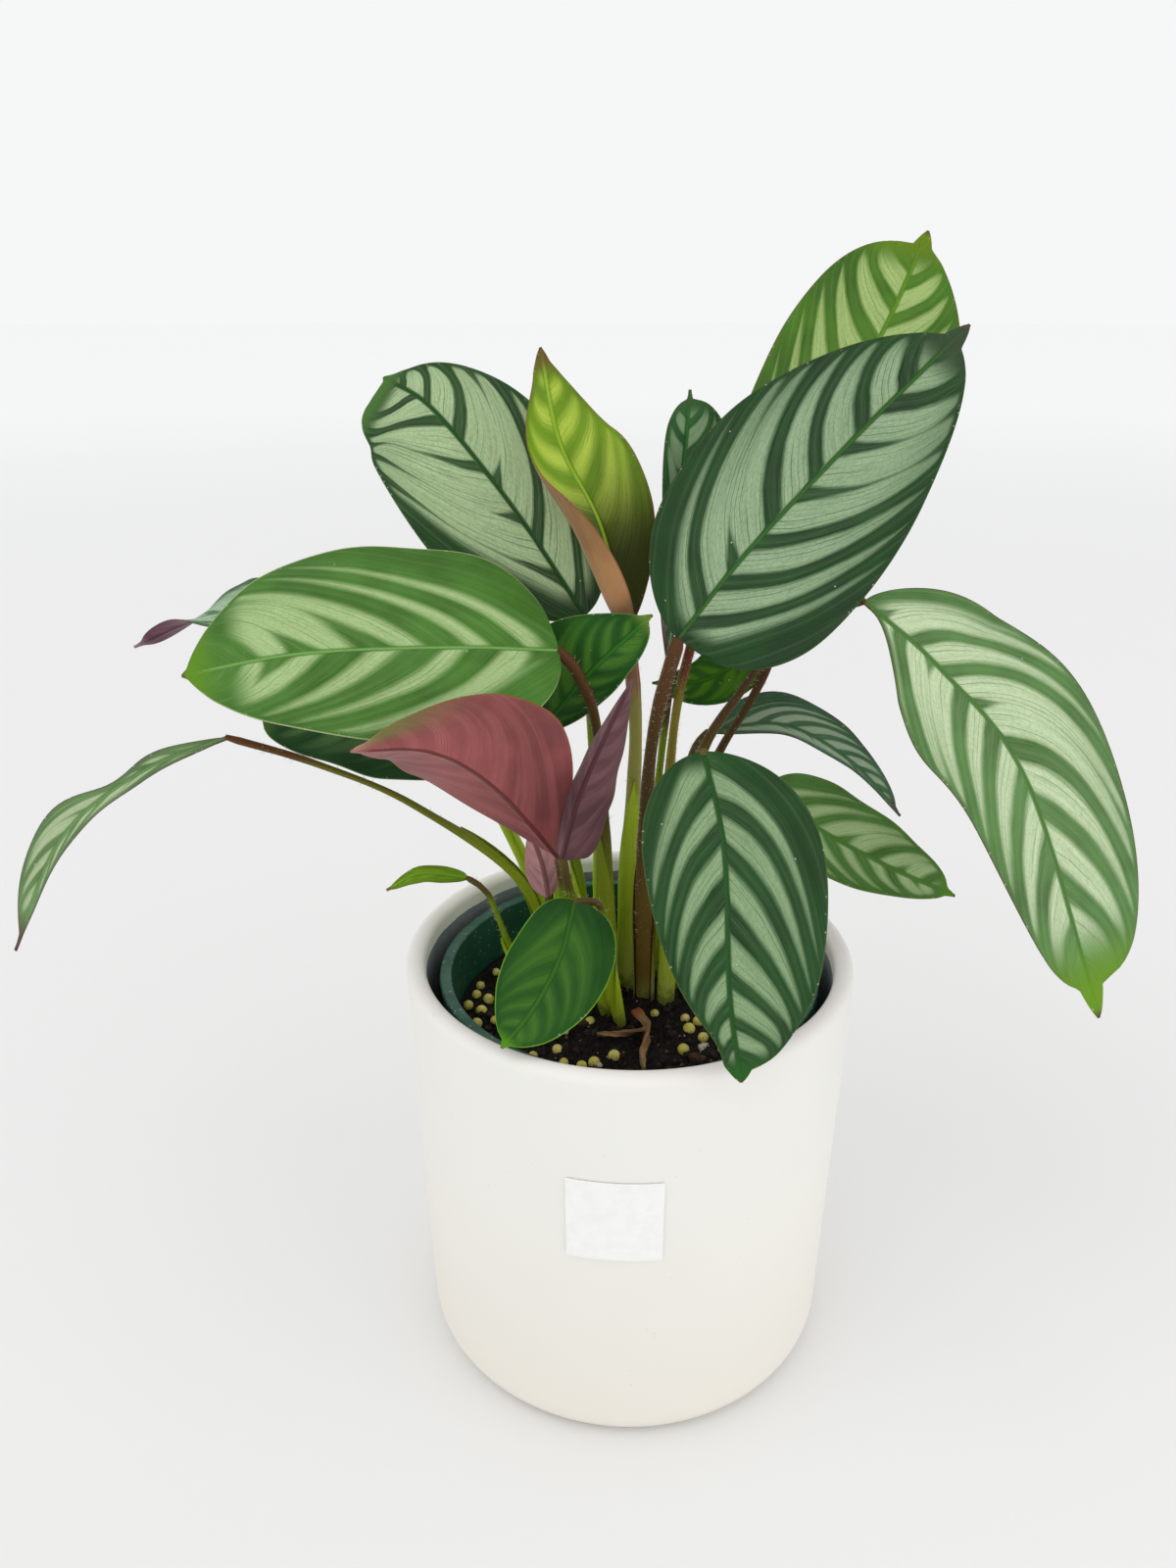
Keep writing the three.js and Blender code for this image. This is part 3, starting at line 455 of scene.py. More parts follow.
class Value:
    """A value in a shader, with plain arithmetic"""

    def __init__(self, look, socket):
        self.look = look
        self.socket = socket

    __add__ = sum_of("ADD")
    __sub__ = sum_of("SUBTRACT")
    __rsub__ = sum_of("SUBTRACT", turned=True)
    __mul__ = sum_of("MULTIPLY")
    __truediv__ = sum_of("DIVIDE")
    __pow__ = sum_of("POWER")
    __lt__ = sum_of("LESS_THAN")
    __abs__ = sum_of("ABSOLUTE")
    at_least = sum_of("MAXIMUM")
    floor = sum_of("FLOOR")
    sign = sum_of("SIGN")
    fraction = sum_of("FRACT")

    def ramp(self, low, high, end=1, start=0):
        """From start to end as the value goes from low to high"""
        inputs = {0: self, 1: low, 2: high, 3: start, 4: end}
        return self.look.node("ShaderNodeMapRange", inputs, interpolation_type="SMOOTHSTEP")

    def off_middle(self):
        """How far the value is from the middle between two whole numbers"""
        return abs(self.fraction() - 0.5)

    def shade(self):
        """A number for each whole cell of a net of cells"""
        hue = Value(self.look, self.socket.node.outputs["Color"])
        return self.look.node("ShaderNodeSeparateColor", {0: hue})

    def coat(self, colour, share):
        """This colour with a share of another over it"""
        return self.look.mix(share, self, colour)


class Look:
    """A material and its shader nodes, with one short call for each kind of node"""

    def __init__(self, name, tint=linear, **values):
        self.material = bpy.data.materials.new(name)
        self.material.use_nodes = True
        self.tree = self.material.node_tree
        self.surface = self.tree.nodes["Principled BSDF"]
        self.tint = tint
        for key, value in values.items():
            self.feed(self.surface.inputs[key.replace("_", " ")], value)

    def feed(self, socket, value):
        """Links a value, or sets a number or a colour of three numbers"""
        if isinstance(value, Value):
            self.tree.links.new(value.socket, socket)
        elif isinstance(value, tuple) and len(value) == 3:
            socket.default_value = self.tint(value)
        else:
            socket.default_value = value

    def node(self, kind, inputs, output=0, **settings):
        made = self.tree.nodes.new(kind)
        for key, value in settings.items():
            setattr(made, key, value)
        for key, value in inputs.items():
            self.feed(made.inputs[key], value)
        return Value(self, made.outputs[output])

    def value(self, name):
        return self.node("ShaderNodeAttribute", {}, "Fac", attribute_name=name)

    def place(self, at=None):
        """The place on the object, or a place made of three values"""
        if at is None:
            return self.node("ShaderNodeTexCoord", {}, "Object")
        return self.node("ShaderNodeCombineXYZ", dict(enumerate(at)))

    def height(self):
        return self.node("ShaderNodeSeparateXYZ", {0: self.place()}, 2)

    def mix(self, share, a, b):
        return self.node("ShaderNodeMix", {0: share, 6: a, 7: b}, 2, data_type="RGBA")

    def noise(self, scale, detail=3, roughness=0.5, at=None):
        inputs = {"Vector": self.place(at), "Scale": scale, "Detail": detail, "Roughness": roughness}
        return self.node("ShaderNodeTexNoise", inputs)

    def cells(self, scale, feature="F1", at=None):
        inputs = {"Vector": self.place(at), "Scale": scale}
        return self.node("ShaderNodeTexVoronoi", inputs, "Distance", feature=feature)

    def flecks(self, scale, size, share):
        """Small round spots, in a share of the cells"""
        near = self.cells(scale)
        return (near.shade() < share) * near.ramp(size, size * 0.6)

    def finish(self, colour, height=None, depth=0.1, strength=0.5, roughness=None):
        """Feeds the surface: depth is the relief's height in millimetres"""
        self.feed(self.surface.inputs["Base Color"], colour)
        if roughness is not None:
            self.feed(self.surface.inputs["Roughness"], roughness)
        if height is not None:
            inputs = {"Height": height, "Distance": depth * MM, "Strength": strength}
            self.feed(self.surface.inputs["Normal"], self.node("ShaderNodeBump", inputs))
        return self.material


def vein_places(look, seed):
    """Where a point lies on a blade: across it, its side, and the count of bands along the veins"""
    across, vein = look.value("across"), look.value("vein")
    out = abs(across)
    side = across.sign() * 3.7 + seed
    sway = look.noise(0.9, 2, at=(vein, out * 2.2, side))
    return out, side, (sway - 0.5) * 0.2 + vein


def fine_lines(look, vein, out, side, count):
    """Thin lines that follow the veins, from 0 to 1"""
    place = vein * count + look.noise(2.5, 2, at=(vein, out, side))
    strong = look.noise(1.3, 1, at=(vein * 5, out, side))
    return place.off_middle().ramp(0.1, 0) * strong.ramp(0.35, 0.65)


def band_cover(look, leaf, out, side, vein, near):
    """The cover of the light bands; the dark ones grow wide outwards, and some of them stop short"""
    _, dark_share, _, soft, end = leaf["pattern"]
    band = (vein + 0.5).floor()
    luck, other_luck = [look.node("ShaderNodeTexWhiteNoise", {"Vector": look.place((band, side, draw))})
                        for draw in (0.5, 9.5)]
    short = (0.95 - out / (other_luck * 0.35 + 0.22)).at_least(-0.3)
    full = other_luck * 0.3 + 0.86
    kept = (short - full) * (luck < 0.27) + full
    half = kept * dark_share + (out / end) ** 4.5 * (1 - dark_share)
    blur = out * out * (1.6 * soft) + soft
    return (near - half).ramp(blur * -1, blur)


def blade_look(name, leaf, seed):
    """Upper face: dark green with light feathered bands along the veins"""
    look = Look(name, leaf_tint, Roughness=0.46, Specular_IOR_Level=0.2)
    dark, light, plain, fade = leaf["dark"], leaf["light"], leaf["plain"], leaf["pattern"][2]
    rib, edge, share = look.value("rib"), look.value("edge"), look.value("share")
    out, side, vein = vein_places(look, seed)
    streak = look.noise(1.8, 5, 0.7, (vein * 12, out * 1.4, side)) - 0.5
    near = vein.off_middle() * -2 + (streak * 0.3 + 1)
    bands = band_cover(look, leaf, out, side, vein, near)
    bands = bands * (vein - seed).ramp(-0.15, 0.35) * rib.ramp(0.4, 1.3) * edge.ramp(0.7, 2.4)
    bands = bands * share.ramp(plain + 0.04, plain - 0.05) * share.ramp(0.02, 0.1)

    lines = fine_lines(look, vein, out, side, 7)
    dull = look.mix(look.noise(60).ramp(0.3, 0.75), dark, tuple(0.82 * c for c in dark))
    for cover in (streak.ramp(-0.1, 0.3, 0.12), near.ramp(0.3, 0, 0.05), lines * 0.16):
        dull = dull.coat(light, cover)
    net = look.cells(1, "DISTANCE_TO_EDGE", (vein * 9, out * 26, side))
    pale = look.mix(streak.ramp(-0.16, 0.2, 0.3), light, dark)
    for cover in (lines * 0.6, net.ramp(0.12, 0.03, 0.17), out.ramp(0.4, 1, fade)):
        pale = pale.coat(dark, cover)
    colour = look.mix(bands, dull, pale)

    if "base" in leaf:
        colour = colour.coat(leaf["base"], (streak * 0.25 + share).ramp(0.6, 0.22))
    for tint, cover in (
        ((228, 232, 214), look.flecks(300, 0.09, 0.07) * 0.6),
        (leaf["ribbed"], rib.ramp(0.65, 0.3)),
        (leaf["margin"], edge.ramp(0.45, 0.15, 0.9)),
        (leaf["tip"], share.ramp(0.88, 0.97, 0.9)),
        ((96, 66, 54), share.ramp(0.985, 0.998, 0.8)),
        ((224, 230, 214), look.flecks(800, 0.3, 0.3) * edge.ramp(1.2, 0.3, 0.35)),
    ):
        colour = colour.coat(tint, cover)
    height = lines * -0.8 + look.noise(900, 2) * 0.4 + streak * 0.9 + rib.ramp(0.9, 0.2) * -0.8
    return look.finish(colour, height, 0.22, 0.7)


def underside_look(name, leaf, seed):
    """Under face: purple or olive, velvety, with fine lines along the veins and a raised midrib"""
    look = Look(name, leaf_tint, Roughness=0.55, Specular_IOR_Level=0.35, Sheen_Weight=0.15)
    base = red, green, blue = leaf["under"]
    deep = tuple(0.64 * c for c in base)
    bright = tuple(min(1.12 * c + 14, 255) for c in base)
    share = look.value("share")
    out, side, vein = vein_places(look, seed)
    lines = fine_lines(look, vein, out, side, 11)
    colour = look.mix(look.noise(45).ramp(0.3, 0.7, 0.7), base, deep)
    for tint, cover in (
        (bright, look.noise(1.5, 3, at=(vein * 3, out, side)).ramp(0.45, 0.8, 0.35)),
        (bright, vein.off_middle().ramp(0.3, 0.15, 0.22) * out.ramp(0.95, 0.6)),
        (deep, lines * 0.9),
        ((0.55 * red + 12, 0.5 * green, 0.5 * blue), look.value("rib").ramp(0.9, 0.5, 0.85)),
        (leaf["margin"], look.value("edge").ramp(0.9, 0.2, 0.7)),
    ):
        colour = colour.coat(tint, cover)
    if "flush" in leaf:
        flush = share.ramp(0.62, 0.9) * look.value("across").ramp(-0.2, -0.75)
        colour = colour.coat(leaf["flush"], flush * 0.75)
    colour = colour.coat(leaf["tip"], share.ramp(0.9, 1, 0.6))
    return look.finish(colour, lines * 0.7 + look.noise(900, 2) * 0.5, 0.16, 0.6)


def stalk_look(name, colours):
    """Stalk: sheath, stem and joint colours, with fine streaks along it and small specks"""
    look = Look(name, leaf_tint, Roughness=0.48, Specular_IOR_Level=0.25)
    sheath, stem, joint = colours
    share = look.value("share")
    streaks = look.noise(2, 4, at=(look.value("around") * 7, share * 2, 0))
    sway = (streaks - 0.5) * 0.35 + share
    foot_line = (look.noise(500) - 0.5) * 0.014 + look.height()
    colour = look.mix(sway.ramp(0.35, 0.62), sheath, stem)
    colour = colour.coat(joint, sway.ramp(JOINT_START - 0.03, JOINT_START + 0.04))
    colour = colour.coat(colour.coat((56, 70, 18), 0.5), streaks.ramp(0.45, 0.75, 0.6))
    colour = colour.coat((190, 200, 110), share.ramp(0.2, 0.08, 0.5))
    colour = colour.coat((84, 62, 40), look.flecks(520, 0.16, 0.25) * 0.4)
    # Darker soil brown over the stalk just above the soil line
    colour = colour.coat(linear((40, 34, 20)), foot_line.ramp(0.1315, 0.1245, 0.6))
    return look.finish(colour, streaks, 0.25, 0.6)


def ceramic_look():
    """Matte white glaze with pits and specks, warmer towards the foot, and a dark grey inner wall below a
    ragged height
    """
    look = Look("ceramic", Specular_IOR_Level=0.4)
    mottle, height = look.noise(22), look.height()
    ragged = (look.noise(180) - 0.5) * 0.0012 + height
    grey = look.mix(look.noise(260), (118, 128, 132), (142, 150, 154))
    colour = look.mix(height.ramp(0.11, 0), (240, 239, 233), (239, 234, 224))
    colour = colour.coat((236, 233, 227), mottle.ramp(0.4, 0.7, 0.3))
    colour = colour.coat((176, 170, 160), look.flecks(420, 0.12, 0.05) * 0.45)
    # Grey over the inner wall below a ragged height
    colour = colour.coat(grey, look.value("inner") * (ragged < POT_INNER_GREY_TOP * MM))
    skin = look.noise(140, 4) * 0.6 + look.flecks(300, 0.16, 0.12) * -0.7
    return look.finish(colour, skin, 0.12, 0.5, mottle.ramp(0.3, 0.7, 0.62, 0.5))


def plastic_look():
    """Dark green plastic, dusty with pale specks of grit on the rim"""
    look = Look("green_plastic", Specular_IOR_Level=0.25)
    height = look.height()
    dust = height.ramp(0.1385, 0.14) * look.noise(150).ramp(0.3, 0.7, 0.16)
    colour = look.mix(look.noise(70), (24, 72, 56), (36, 92, 72)).coat((120, 150, 136), dust)
    colour = colour.coat((190, 196, 184), look.flecks(700, 0.2, 0.3))
    scratches = look.noise(1, 2, at=(0, 0, height * 900))
    return look.finish(colour, scratches, 0.05, 0.4, look.noise(90).ramp(0.3, 0.7, 0.55, 0.35))


def soil_look():
    look = Look("potting_mix", Specular_IOR_Level=0.25)
    fine = look.noise(700, 6, 0.65)
    colour = look.mix(fine.ramp(0.35, 0.7), (5, 4, 4), (34, 27, 22))
    colour = colour.coat((110, 86, 60), look.flecks(420, 0.3, 0.1))
    colour = colour.coat((196, 190, 176), look.flecks(650, 0.25, 0.05))
    return look.finish(colour, fine, 1.2, 0.9, fine.ramp(0.3, 0.7, 0.7, 0.95))


def bead_look():
    look = Look("fertiliser_beads", Roughness=0.4, Specular_IOR_Level=0.4)
    colour = look.mix(look.cells(160).shade(), (240, 230, 132), (210, 200, 92))
    colour = colour.coat((150, 128, 60), look.noise(500).ramp(0.45, 0.75, 0.5))
    return look.finish(colour, look.noise(1400, 2), 0.1, 0.5)


def plain_look(name, one, other, scale, roughness, depth=0.3):
    """A grainy material between two colours"""
    look = Look(name, Roughness=roughness, Specular_IOR_Level=0.3)
    grain = look.noise(scale, 5, 0.6)
    return look.finish(look.mix(grain.ramp(0.35, 0.68), one, other), grain, depth, 0.7)


def dried_look():
    """Tan dry fibres that run along the strip"""
    look = Look("dried_fibre", Roughness=0.8, Specular_IOR_Level=0.2)
    share = look.value("share")
    fibres = look.noise(2, 5, at=(look.value("around") * 9, share * 1.5, 0))
    colour = look.mix(fibres.ramp(0.3, 0.7), (176, 142, 100), (112, 80, 52))
    return look.finish(colour.coat((138, 74, 48), share.ramp(0.16, 0.02)), fibres, 0.4, 0.9)


# Leaf blades

def blade_shape(share, form, body, drip):
    """Half width of a blade at shares of its length, from 0 to 1, with a narrow drip tip"""
    widest, base_fullness, tip_fullness = form[1:4]
    waist_place, waist_depth = form[7:9] if len(form) > 7 else (0, 0)
    along = np.minimum(share / body, 1)
    power = math.log(0.5) / math.log(widest)
    fullness = base_fullness + (tip_fullness - base_fullness) * along
    oval = np.maximum(np.sin(np.pi * along ** power), 0) ** fullness
    waist = waist_depth * np.exp(-(((share - waist_place) / WAIST_LENGTH) ** 2))
    narrow = drip * np.minimum((1 - share) / DRIP_LENGTH, 1) ** 0.65
    return np.hypot(oval * (1 - waist), narrow * smooth_step(share, 0.6, 0.9))


def blade_surface(leaf, rows, seed):
    """Points of the middle surface in rows along the midrib, with what the markings need"""
    shares = (1 - np.cos(np.pi * np.arange(rows + 1) / rows)) / 2
    centre = curve_points(leaf["rib"], shares)
    along = curve_run(leaf["rib"], shares)
    face = unit(np.array(leaf["face"], float))
    up = unit(face - along * (along @ face)[:, None])
    turn = leaf["twist"]
    up = turned_about(up, along, np.radians(turn[0] + (turn[1] - turn[0]) * shares))
    across = np.cross(along, up)
    length = np.sum(np.linalg.norm(np.diff(centre, axis=0), axis=1))

    lines, marks = [], []
    for j in range(-leaf["columns"], leaf["columns"] + 1):
        form = leaf["left"] if j < 0 else leaf["right"]
        part = (abs(j) / leaf["columns"]) ** 1.35
        width = np.maximum(form[0] * blade_shape(shares, form, leaf["body"], leaf["drip"]), 0.5)
        fold = math.radians(form[4])
        curl = np.radians(form[5] + (form[6] - form[5]) * shares)
        curl = np.where(np.abs(curl) < 1e-3, 1e-3, curl)
        sideways = width * (np.sin(fold + curl * part) - math.sin(fold)) / curl
        upward = width * (math.cos(fold) - np.cos(fold + curl * part)) / curl
        reach = leaf["slant"] * width * (0.85 * part + 1.15 * part ** 3)
        vein = leaf["pattern"][0] * (shares ** 1.15 - reach / length) + (0.0 if j < 0 else 0.4) + seed
        fade = np.clip(width / 10, 0, 1)
        pleat = PLEAT * fade * np.cos(2 * np.pi * vein) * part ** 0.5 * (1 - part ** 4)
        wave = np.sin(2 * np.pi * (3.2 * shares + 0.37 * seed) + (1.9 if j < 0 else 0))
        ripple = RIPPLE * fade * part ** 3 * wave * np.sin(np.pi * shares)
        lines.append(centre + across * (math.copysign(1, j) * sideways)[:, None]
                     + up * (upward + pleat + ripple)[:, None])
        signed = np.full(rows + 1, math.copysign(part, j))
        marks.append([signed, shares, vein, width * (1 - part), width * part])
    return np.stack(lines, axis=1), np.stack([np.stack(m, axis=-1) for m in marks], axis=1)


def blade(name, leaf, seed):
    """A blade with two faces, a raised midrib below and a groove above it"""
    ends = np.array(leaf["rib"], float)
    rows = int(max(26, 0.75 * np.sum(np.linalg.norm(np.diff(ends, axis=0), axis=1))))
    middle, marks = blade_surface(leaf, rows, seed)
    normal = unit(np.cross(np.gradient(middle, axis=1), np.gradient(middle, axis=0)))
    out, share, rib = np.abs(marks[..., 0]), marks[..., 1], marks[..., 4]
    half = BLADE_HALF + (MARGIN_HALF - BLADE_HALF) * smooth_step(out, 0.75, 1)
    keel = RIB_HEIGHT * (1 - 0.75 * share) * np.exp(-(rib / 0.9) ** 2)
    groove = 0.3 * (1 - share) * np.exp(-(rib / 0.6) ** 2)
    upper = middle + normal * (half - groove)[..., None]
    under = middle - normal * (half + keel)[..., None]

    top, bottom, border = skin_faces(*middle.shape[:2])
    worn = [0] * len(top) + [1] * len(bottom) + [0] * len(border)
    looks = [blade_look(f"upper_{name}", leaf, seed), underside_look(f"under_{name}", leaf, seed)]
    twice = np.concatenate([marks.reshape(-1, 5)] * 2).T
    made = make_object(f"leaf_{name}", np.concatenate([upper.reshape(-1, 3), under.reshape(-1, 3)]),
                       top + bottom + border, looks, worn,
                       **dict(zip(("across", "share", "vein", "edge", "rib"), twice)))
    stand_for(made, f"blade_{name}")


# Stalks

def stalk_path(leaf):
    """The points of a stalk from its foot in the soil to its end in the base of the blade"""
    ground = np.array([*leaf["soil"], SOIL_HEIGHT], float)
    by = [np.array(p, float) for p in leaf["by"]]
    foot = ground - unit(by[0] - ground) * STALK_ROOT_DEPTH
    base = np.array(leaf["rib"][0], float)
    return [foot, ground, *by, base + FIT * unit(base - by[-1])]


def stalk_width(share, radii):
    wide, slim = radii
    stem = wide + (slim - wide) * smooth_step(share, SHEATH_END, STEM_START)
    joint = 1 + 0.15 * smooth_step(share, JOINT_START - 0.02, JOINT_START + 0.02)
    return (stem * joint * (1 - 0.3 * smooth_step(share, 0.975, 1)))[:, None]


def frames_along(path, shares):
    """Points of a path, the way it runs, and two directions square to it, carried along untwisted"""
    centre, tangents = even_points(path, shares)
    normals = [unit(np.cross(tangents[0], (1.0, 0.0, 0.0)))]
    for tangent in tangents[1:]:
        normals.append(unit(normals[-1] - tangent * np.dot(normals[-1], tangent)))
    return centre, tangents, np.array(normals), np.cross(tangents, normals)


def round_path(path, shares, reach, angles):
    """Points round a path, row after row, each at its own reach and angle"""
    centre, _, normals, sides = frames_along(path, shares)
    points = (centre[:, None, :] + normals[:, None, :] * (reach * np.cos(angles))[..., None]
              + sides[:, None, :] * (reach * np.sin(angles))[..., None])
    return points.reshape(-1, 3)


def stalk(name, leaf, random):
    """A stalk with a groove and ridges, with its sheath and hairs"""
    path = stalk_path(leaf)
    shares = np.linspace(0, 1, STALK_STEPS)
    angles = turns(STALK_SIDES)
    back = np.minimum(angles, 2 * np.pi - angles)
    sheath = (1 - smooth_step(shares, 0.35, 0.62))[:, None]
    groove = 1 - (0.1 + 0.3 * sheath) * np.exp(-(back / 0.45) ** 2)
    ridges = 1 + 0.035 * np.cos(5 * angles)
    swell = 1 + 0.03 * np.sin(shares * 40)[:, None]
    reach = stalk_width(shares, leaf["radius"]) * groove * ridges * swell
    parts = Parts()
    parts.add(round_path(path, shares, reach, angles), tube_faces(STALK_STEPS, STALK_SIDES),
              share=np.repeat(shares, STALK_SIDES), around=np.tile(back, STALK_STEPS))
    clasping_sheath(parts, leaf, path, random)
    hairs(parts, leaf, path, random)
    made = parts.make(f"stem_{name}", [STALK_LOOKS[leaf["skin"]], HAIR_LOOK], sharp=65)
    stand_for(made, f"stalk_{name}")


def clasping_sheath(parts, leaf, path, random):
    """A thin sheath that clasps the lower stalk and ends in a point"""
    rows, columns = SHEATH_GRID
    top = 0.5 + 0.16 * random.random()
    shares = np.linspace(0.06, top, rows)
    across = np.linspace(-1, 1, columns)
    open_side = 2 * np.pi * random.random()
    spread = np.radians(130) * (1 - (shares / top) ** 3) + 0.02
    angles = open_side + spread[:, None] * across
    radius = stalk_width(shares, leaf["radius"]) + SHEATH_LIFT * (0.35 + 0.65 * across ** 2)
    points = [round_path(path, shares, radius - inward, angles) for inward in (0, SHEATH_THICKNESS)]
    parts.add(np.concatenate(points), sum(skin_faces(rows, columns), []),
              share=np.tile(np.repeat(shares * 0.6, columns), 2),
              around=np.tile(np.linspace(0.5, 3.5, columns), 2 * rows))


def hairs(parts, leaf, path, random):
    """Short pale hairs, each a slim three-sided spike that leans upward"""
    count = int(1.5 * leaf["hairs"])
    shares = np.sort(0.25 + 0.72 * random.random(count))
    centre, tangents, normals, sides = frames_along(path, shares)
    angles = 2 * np.pi * random.random(count)[:, None]
    outward = normals * np.cos(angles) + sides * np.sin(angles)
    round_about = np.cross(tangents, outward)
    root = centre + outward * stalk_width(shares, leaf["radius"]) * 0.8
    length = HAIR_LENGTH * (0.5 + random.random(count))[:, None]
    tip = root + outward * length + tangents * length * 0.5
    corners = [root + HAIR_RADIUS * (tangents * math.cos(a) + round_about * math.sin(a)) for a in turns(3)]
    spike = ((0, 1, 3), (1, 2, 3), (2, 0, 3), (2, 1, 0))
    faces = [tuple(4 * i + corner for corner in side) for i in range(count) for side in spike]
    parts.add(np.stack([*corners, tip], axis=1).reshape(-1, 3), faces, 1,
              share=np.repeat(shares, 4), around=np.zeros(4 * count))


# Pots

def arc(centre, radius, start, end, steps):
    """Points of part of a circle in a profile, angles in degrees"""
    angles = np.radians(np.linspace(start, end, steps + 1))
    return [(centre[0] + radius * math.cos(a), centre[1] + radius * math.sin(a)) for a in angles]


def lathe(profile, sides, step):
    """Points and faces of a solid turned about Z; the profile starts and ends on the axis"""
    fine = [profile[0]]
    for a, b in zip(profile, profile[1:]):
        count = max(1, round(math.dist(a, b) / step))
        fine += [(a[0] + (b[0] - a[0]) * k / count, a[1] + (b[1] - a[1]) * k / count)
                 for k in range(1, count + 1)]
    rings = [ring(r, turns(sides), z) for r, z in fine[1:-1]]
    ends = [(0, 0, fine[0][1]), (0, 0, fine[-1][1])]
    return np.concatenate([*rings, ends]), turned_faces(len(rings), sides)


def pot_outside(z):
    return POT_FOOT_RADIUS + (POT_RIM_RADIUS - POT_FOOT_RADIUS) * z / POT_HEIGHT


def cover_pot():
    rim = POT_WALL / 2
    corner = POT_FOOT_RADIUS - POT_CORNER
    profile = [
        (0, 0), *arc((corner, POT_CORNER), POT_CORNER, -90, 0, 14),
        *arc((POT_RIM_RADIUS - rim, POT_HEIGHT - rim), rim, 0, 180, 20),
        *arc((corner - POT_WALL, POT_FLOOR + POT_CORNER), POT_CORNER, 0, -90, 10), (0, POT_FLOOR),
    ]
    points, faces = lathe(profile, POT_SIDES, 5)
    reach = np.hypot(points[:, 0], points[:, 1])
    within = reach < POT_RIM_RADIUS - rim - 1.5 - 0.024 * (POT_HEIGHT - points[:, 2])
    made = make_object("ceramic_pot", points, faces, [ceramic_look()], inner=within & (points[:, 2] > 5))
    stand_for(made, "cover_pot")


def nursery_inside(z):
    foot = POT_FLOOR + FIT
    share = (z - foot) / (NURSERY_RIM_HEIGHT - foot)
    top = NURSERY_RIM_RADIUS - NURSERY_LEDGE
    return NURSERY_FOOT_RADIUS + (top - NURSERY_FOOT_RADIUS) * share - NURSERY_WALL


def nursery_pot():
    foot = POT_FLOOR + FIT
    top = NURSERY_RIM_HEIGHT
    skirt = top - NURSERY_SKIRT
    floor = foot + NURSERY_FLOOR
    edge = NURSERY_RIM_EDGE
    profile = [
        (0, foot), (NURSERY_FOOT_RADIUS, foot),
        (nursery_inside(skirt) + NURSERY_WALL, skirt), (NURSERY_RIM_RADIUS - edge, skirt),
        *arc((NURSERY_RIM_RADIUS - edge, top - edge), edge, 0, 90, 5),
        *arc((nursery_inside(top) + edge, top - edge), edge, 90, 180, 5),
        (nursery_inside(floor), floor), (0, floor),
    ]
    points, faces = lathe(profile, NURSERY_SIDES, 6)
    made = make_object("plastic_pot", points, faces, [plastic_look()])
    drill = placed("drill", bpy.data.meshes.new("drill"))
    shape = bmesh.new()
    for angle in turns(NURSERY_HOLES):
        at = Vector((math.cos(angle), math.sin(angle), 0)) * NURSERY_HOLE_CIRCLE * MM
        at.z = foot * MM
        bmesh.ops.create_cone(
            shape, cap_ends=True, segments=20, depth=4 * NURSERY_FLOOR * MM, matrix=Matrix.Translation(at),
            radius1=NURSERY_HOLE_RADIUS * MM, radius2=NURSERY_HOLE_RADIUS * MM)
    shape.to_mesh(drill.data)
    shape.free()
    cut = made.modifiers.new("holes", "BOOLEAN")
    cut.operation = "DIFFERENCE"
    cut.object = drill
    bpy.context.view_layer.update()
    holed = bpy.data.meshes.new_from_object(made.evaluated_get(bpy.context.evaluated_depsgraph_get()))
    made.modifiers.clear()
    made.data = holed
    bpy.data.objects.remove(drill)
    stand_for(made, "nursery_pot")


# Soil

def soil_top(x, y):
    broad = np.sin(0.23 * x + 0.6) * np.cos(0.19 * y)
    return SOIL_HEIGHT + SOIL_BUMP * (broad + 0.6 * np.sin(0.41 * x - 0.37 * y))


def crumbs(x, y):
    """Fine unevenness of the loose mix, heaped up a little round each stalk"""
    places = [leaf["soil"] for leaf in LEAVES.values()]
    heap = sum(np.exp(-((x - sx) ** 2 + (y - sy) ** 2) / 30) for sx, sy in places)
    rough = 3.0 * np.minimum(heap, 1) + 0.35 * np.sin(1.7 * x + 1.1 * y) * np.sin(1.3 * y - 0.9 * x)
    rough = rough + 0.3 * np.sin(2.9 * x - 1.9 * y + 1) * np.sin(3.1 * y + 1.2 * x)
    return rough + 0.2 * np.sin(5.3 * x + 2.3 * y) * np.sin(4.7 * y - 2.9 * x)


def repeatable(seed):
    """Repeatable numbers from 0 to 1"""
    state = seed
    while True:
        state = state * 16807 % 2147483647
        yield state / 2147483647


def near_something(x, y):
    for leaf in LEAVES.values():
        if math.dist((x, y), leaf["soil"]) < leaf["radius"][0] + SOIL_BITS_CLEARANCE:
            return True
    return any(math.dist((x, y), p[:2]) < 8 for p in [*DRIED_STRIP, *DRIED_SHRED])


def about(x, y, angle, reach):
    return x + reach * math.cos(angle), y + reach * math.sin(angle)


def bit_places():
    """The places of the beads, grit and bark: kind, size, place and turns, by the solids' own rule"""
    numbers = repeatable(2147)
    found = []
    for kind, count, lift in (("bead", 40, 0.3), ("grit", 16, -0.3), ("bark", 8, -0.2)):
        left = count
        while left > 0:
            x, y = about(0, 0, 2 * math.pi * next(numbers), SOIL_BITS_REACH * math.sqrt(next(numbers)))
            size = GRIT_RADIUS + next(numbers) if kind == "grit" else PRILL_RADIUS
            tilt = 0.6 * next(numbers) - 0.3
            turn = math.pi * next(numbers)
            if not near_something(x, y):
                found.append((kind, size, (x, y, soil_top(x, y) + lift), tilt, turn))
                left -= 1
    return found


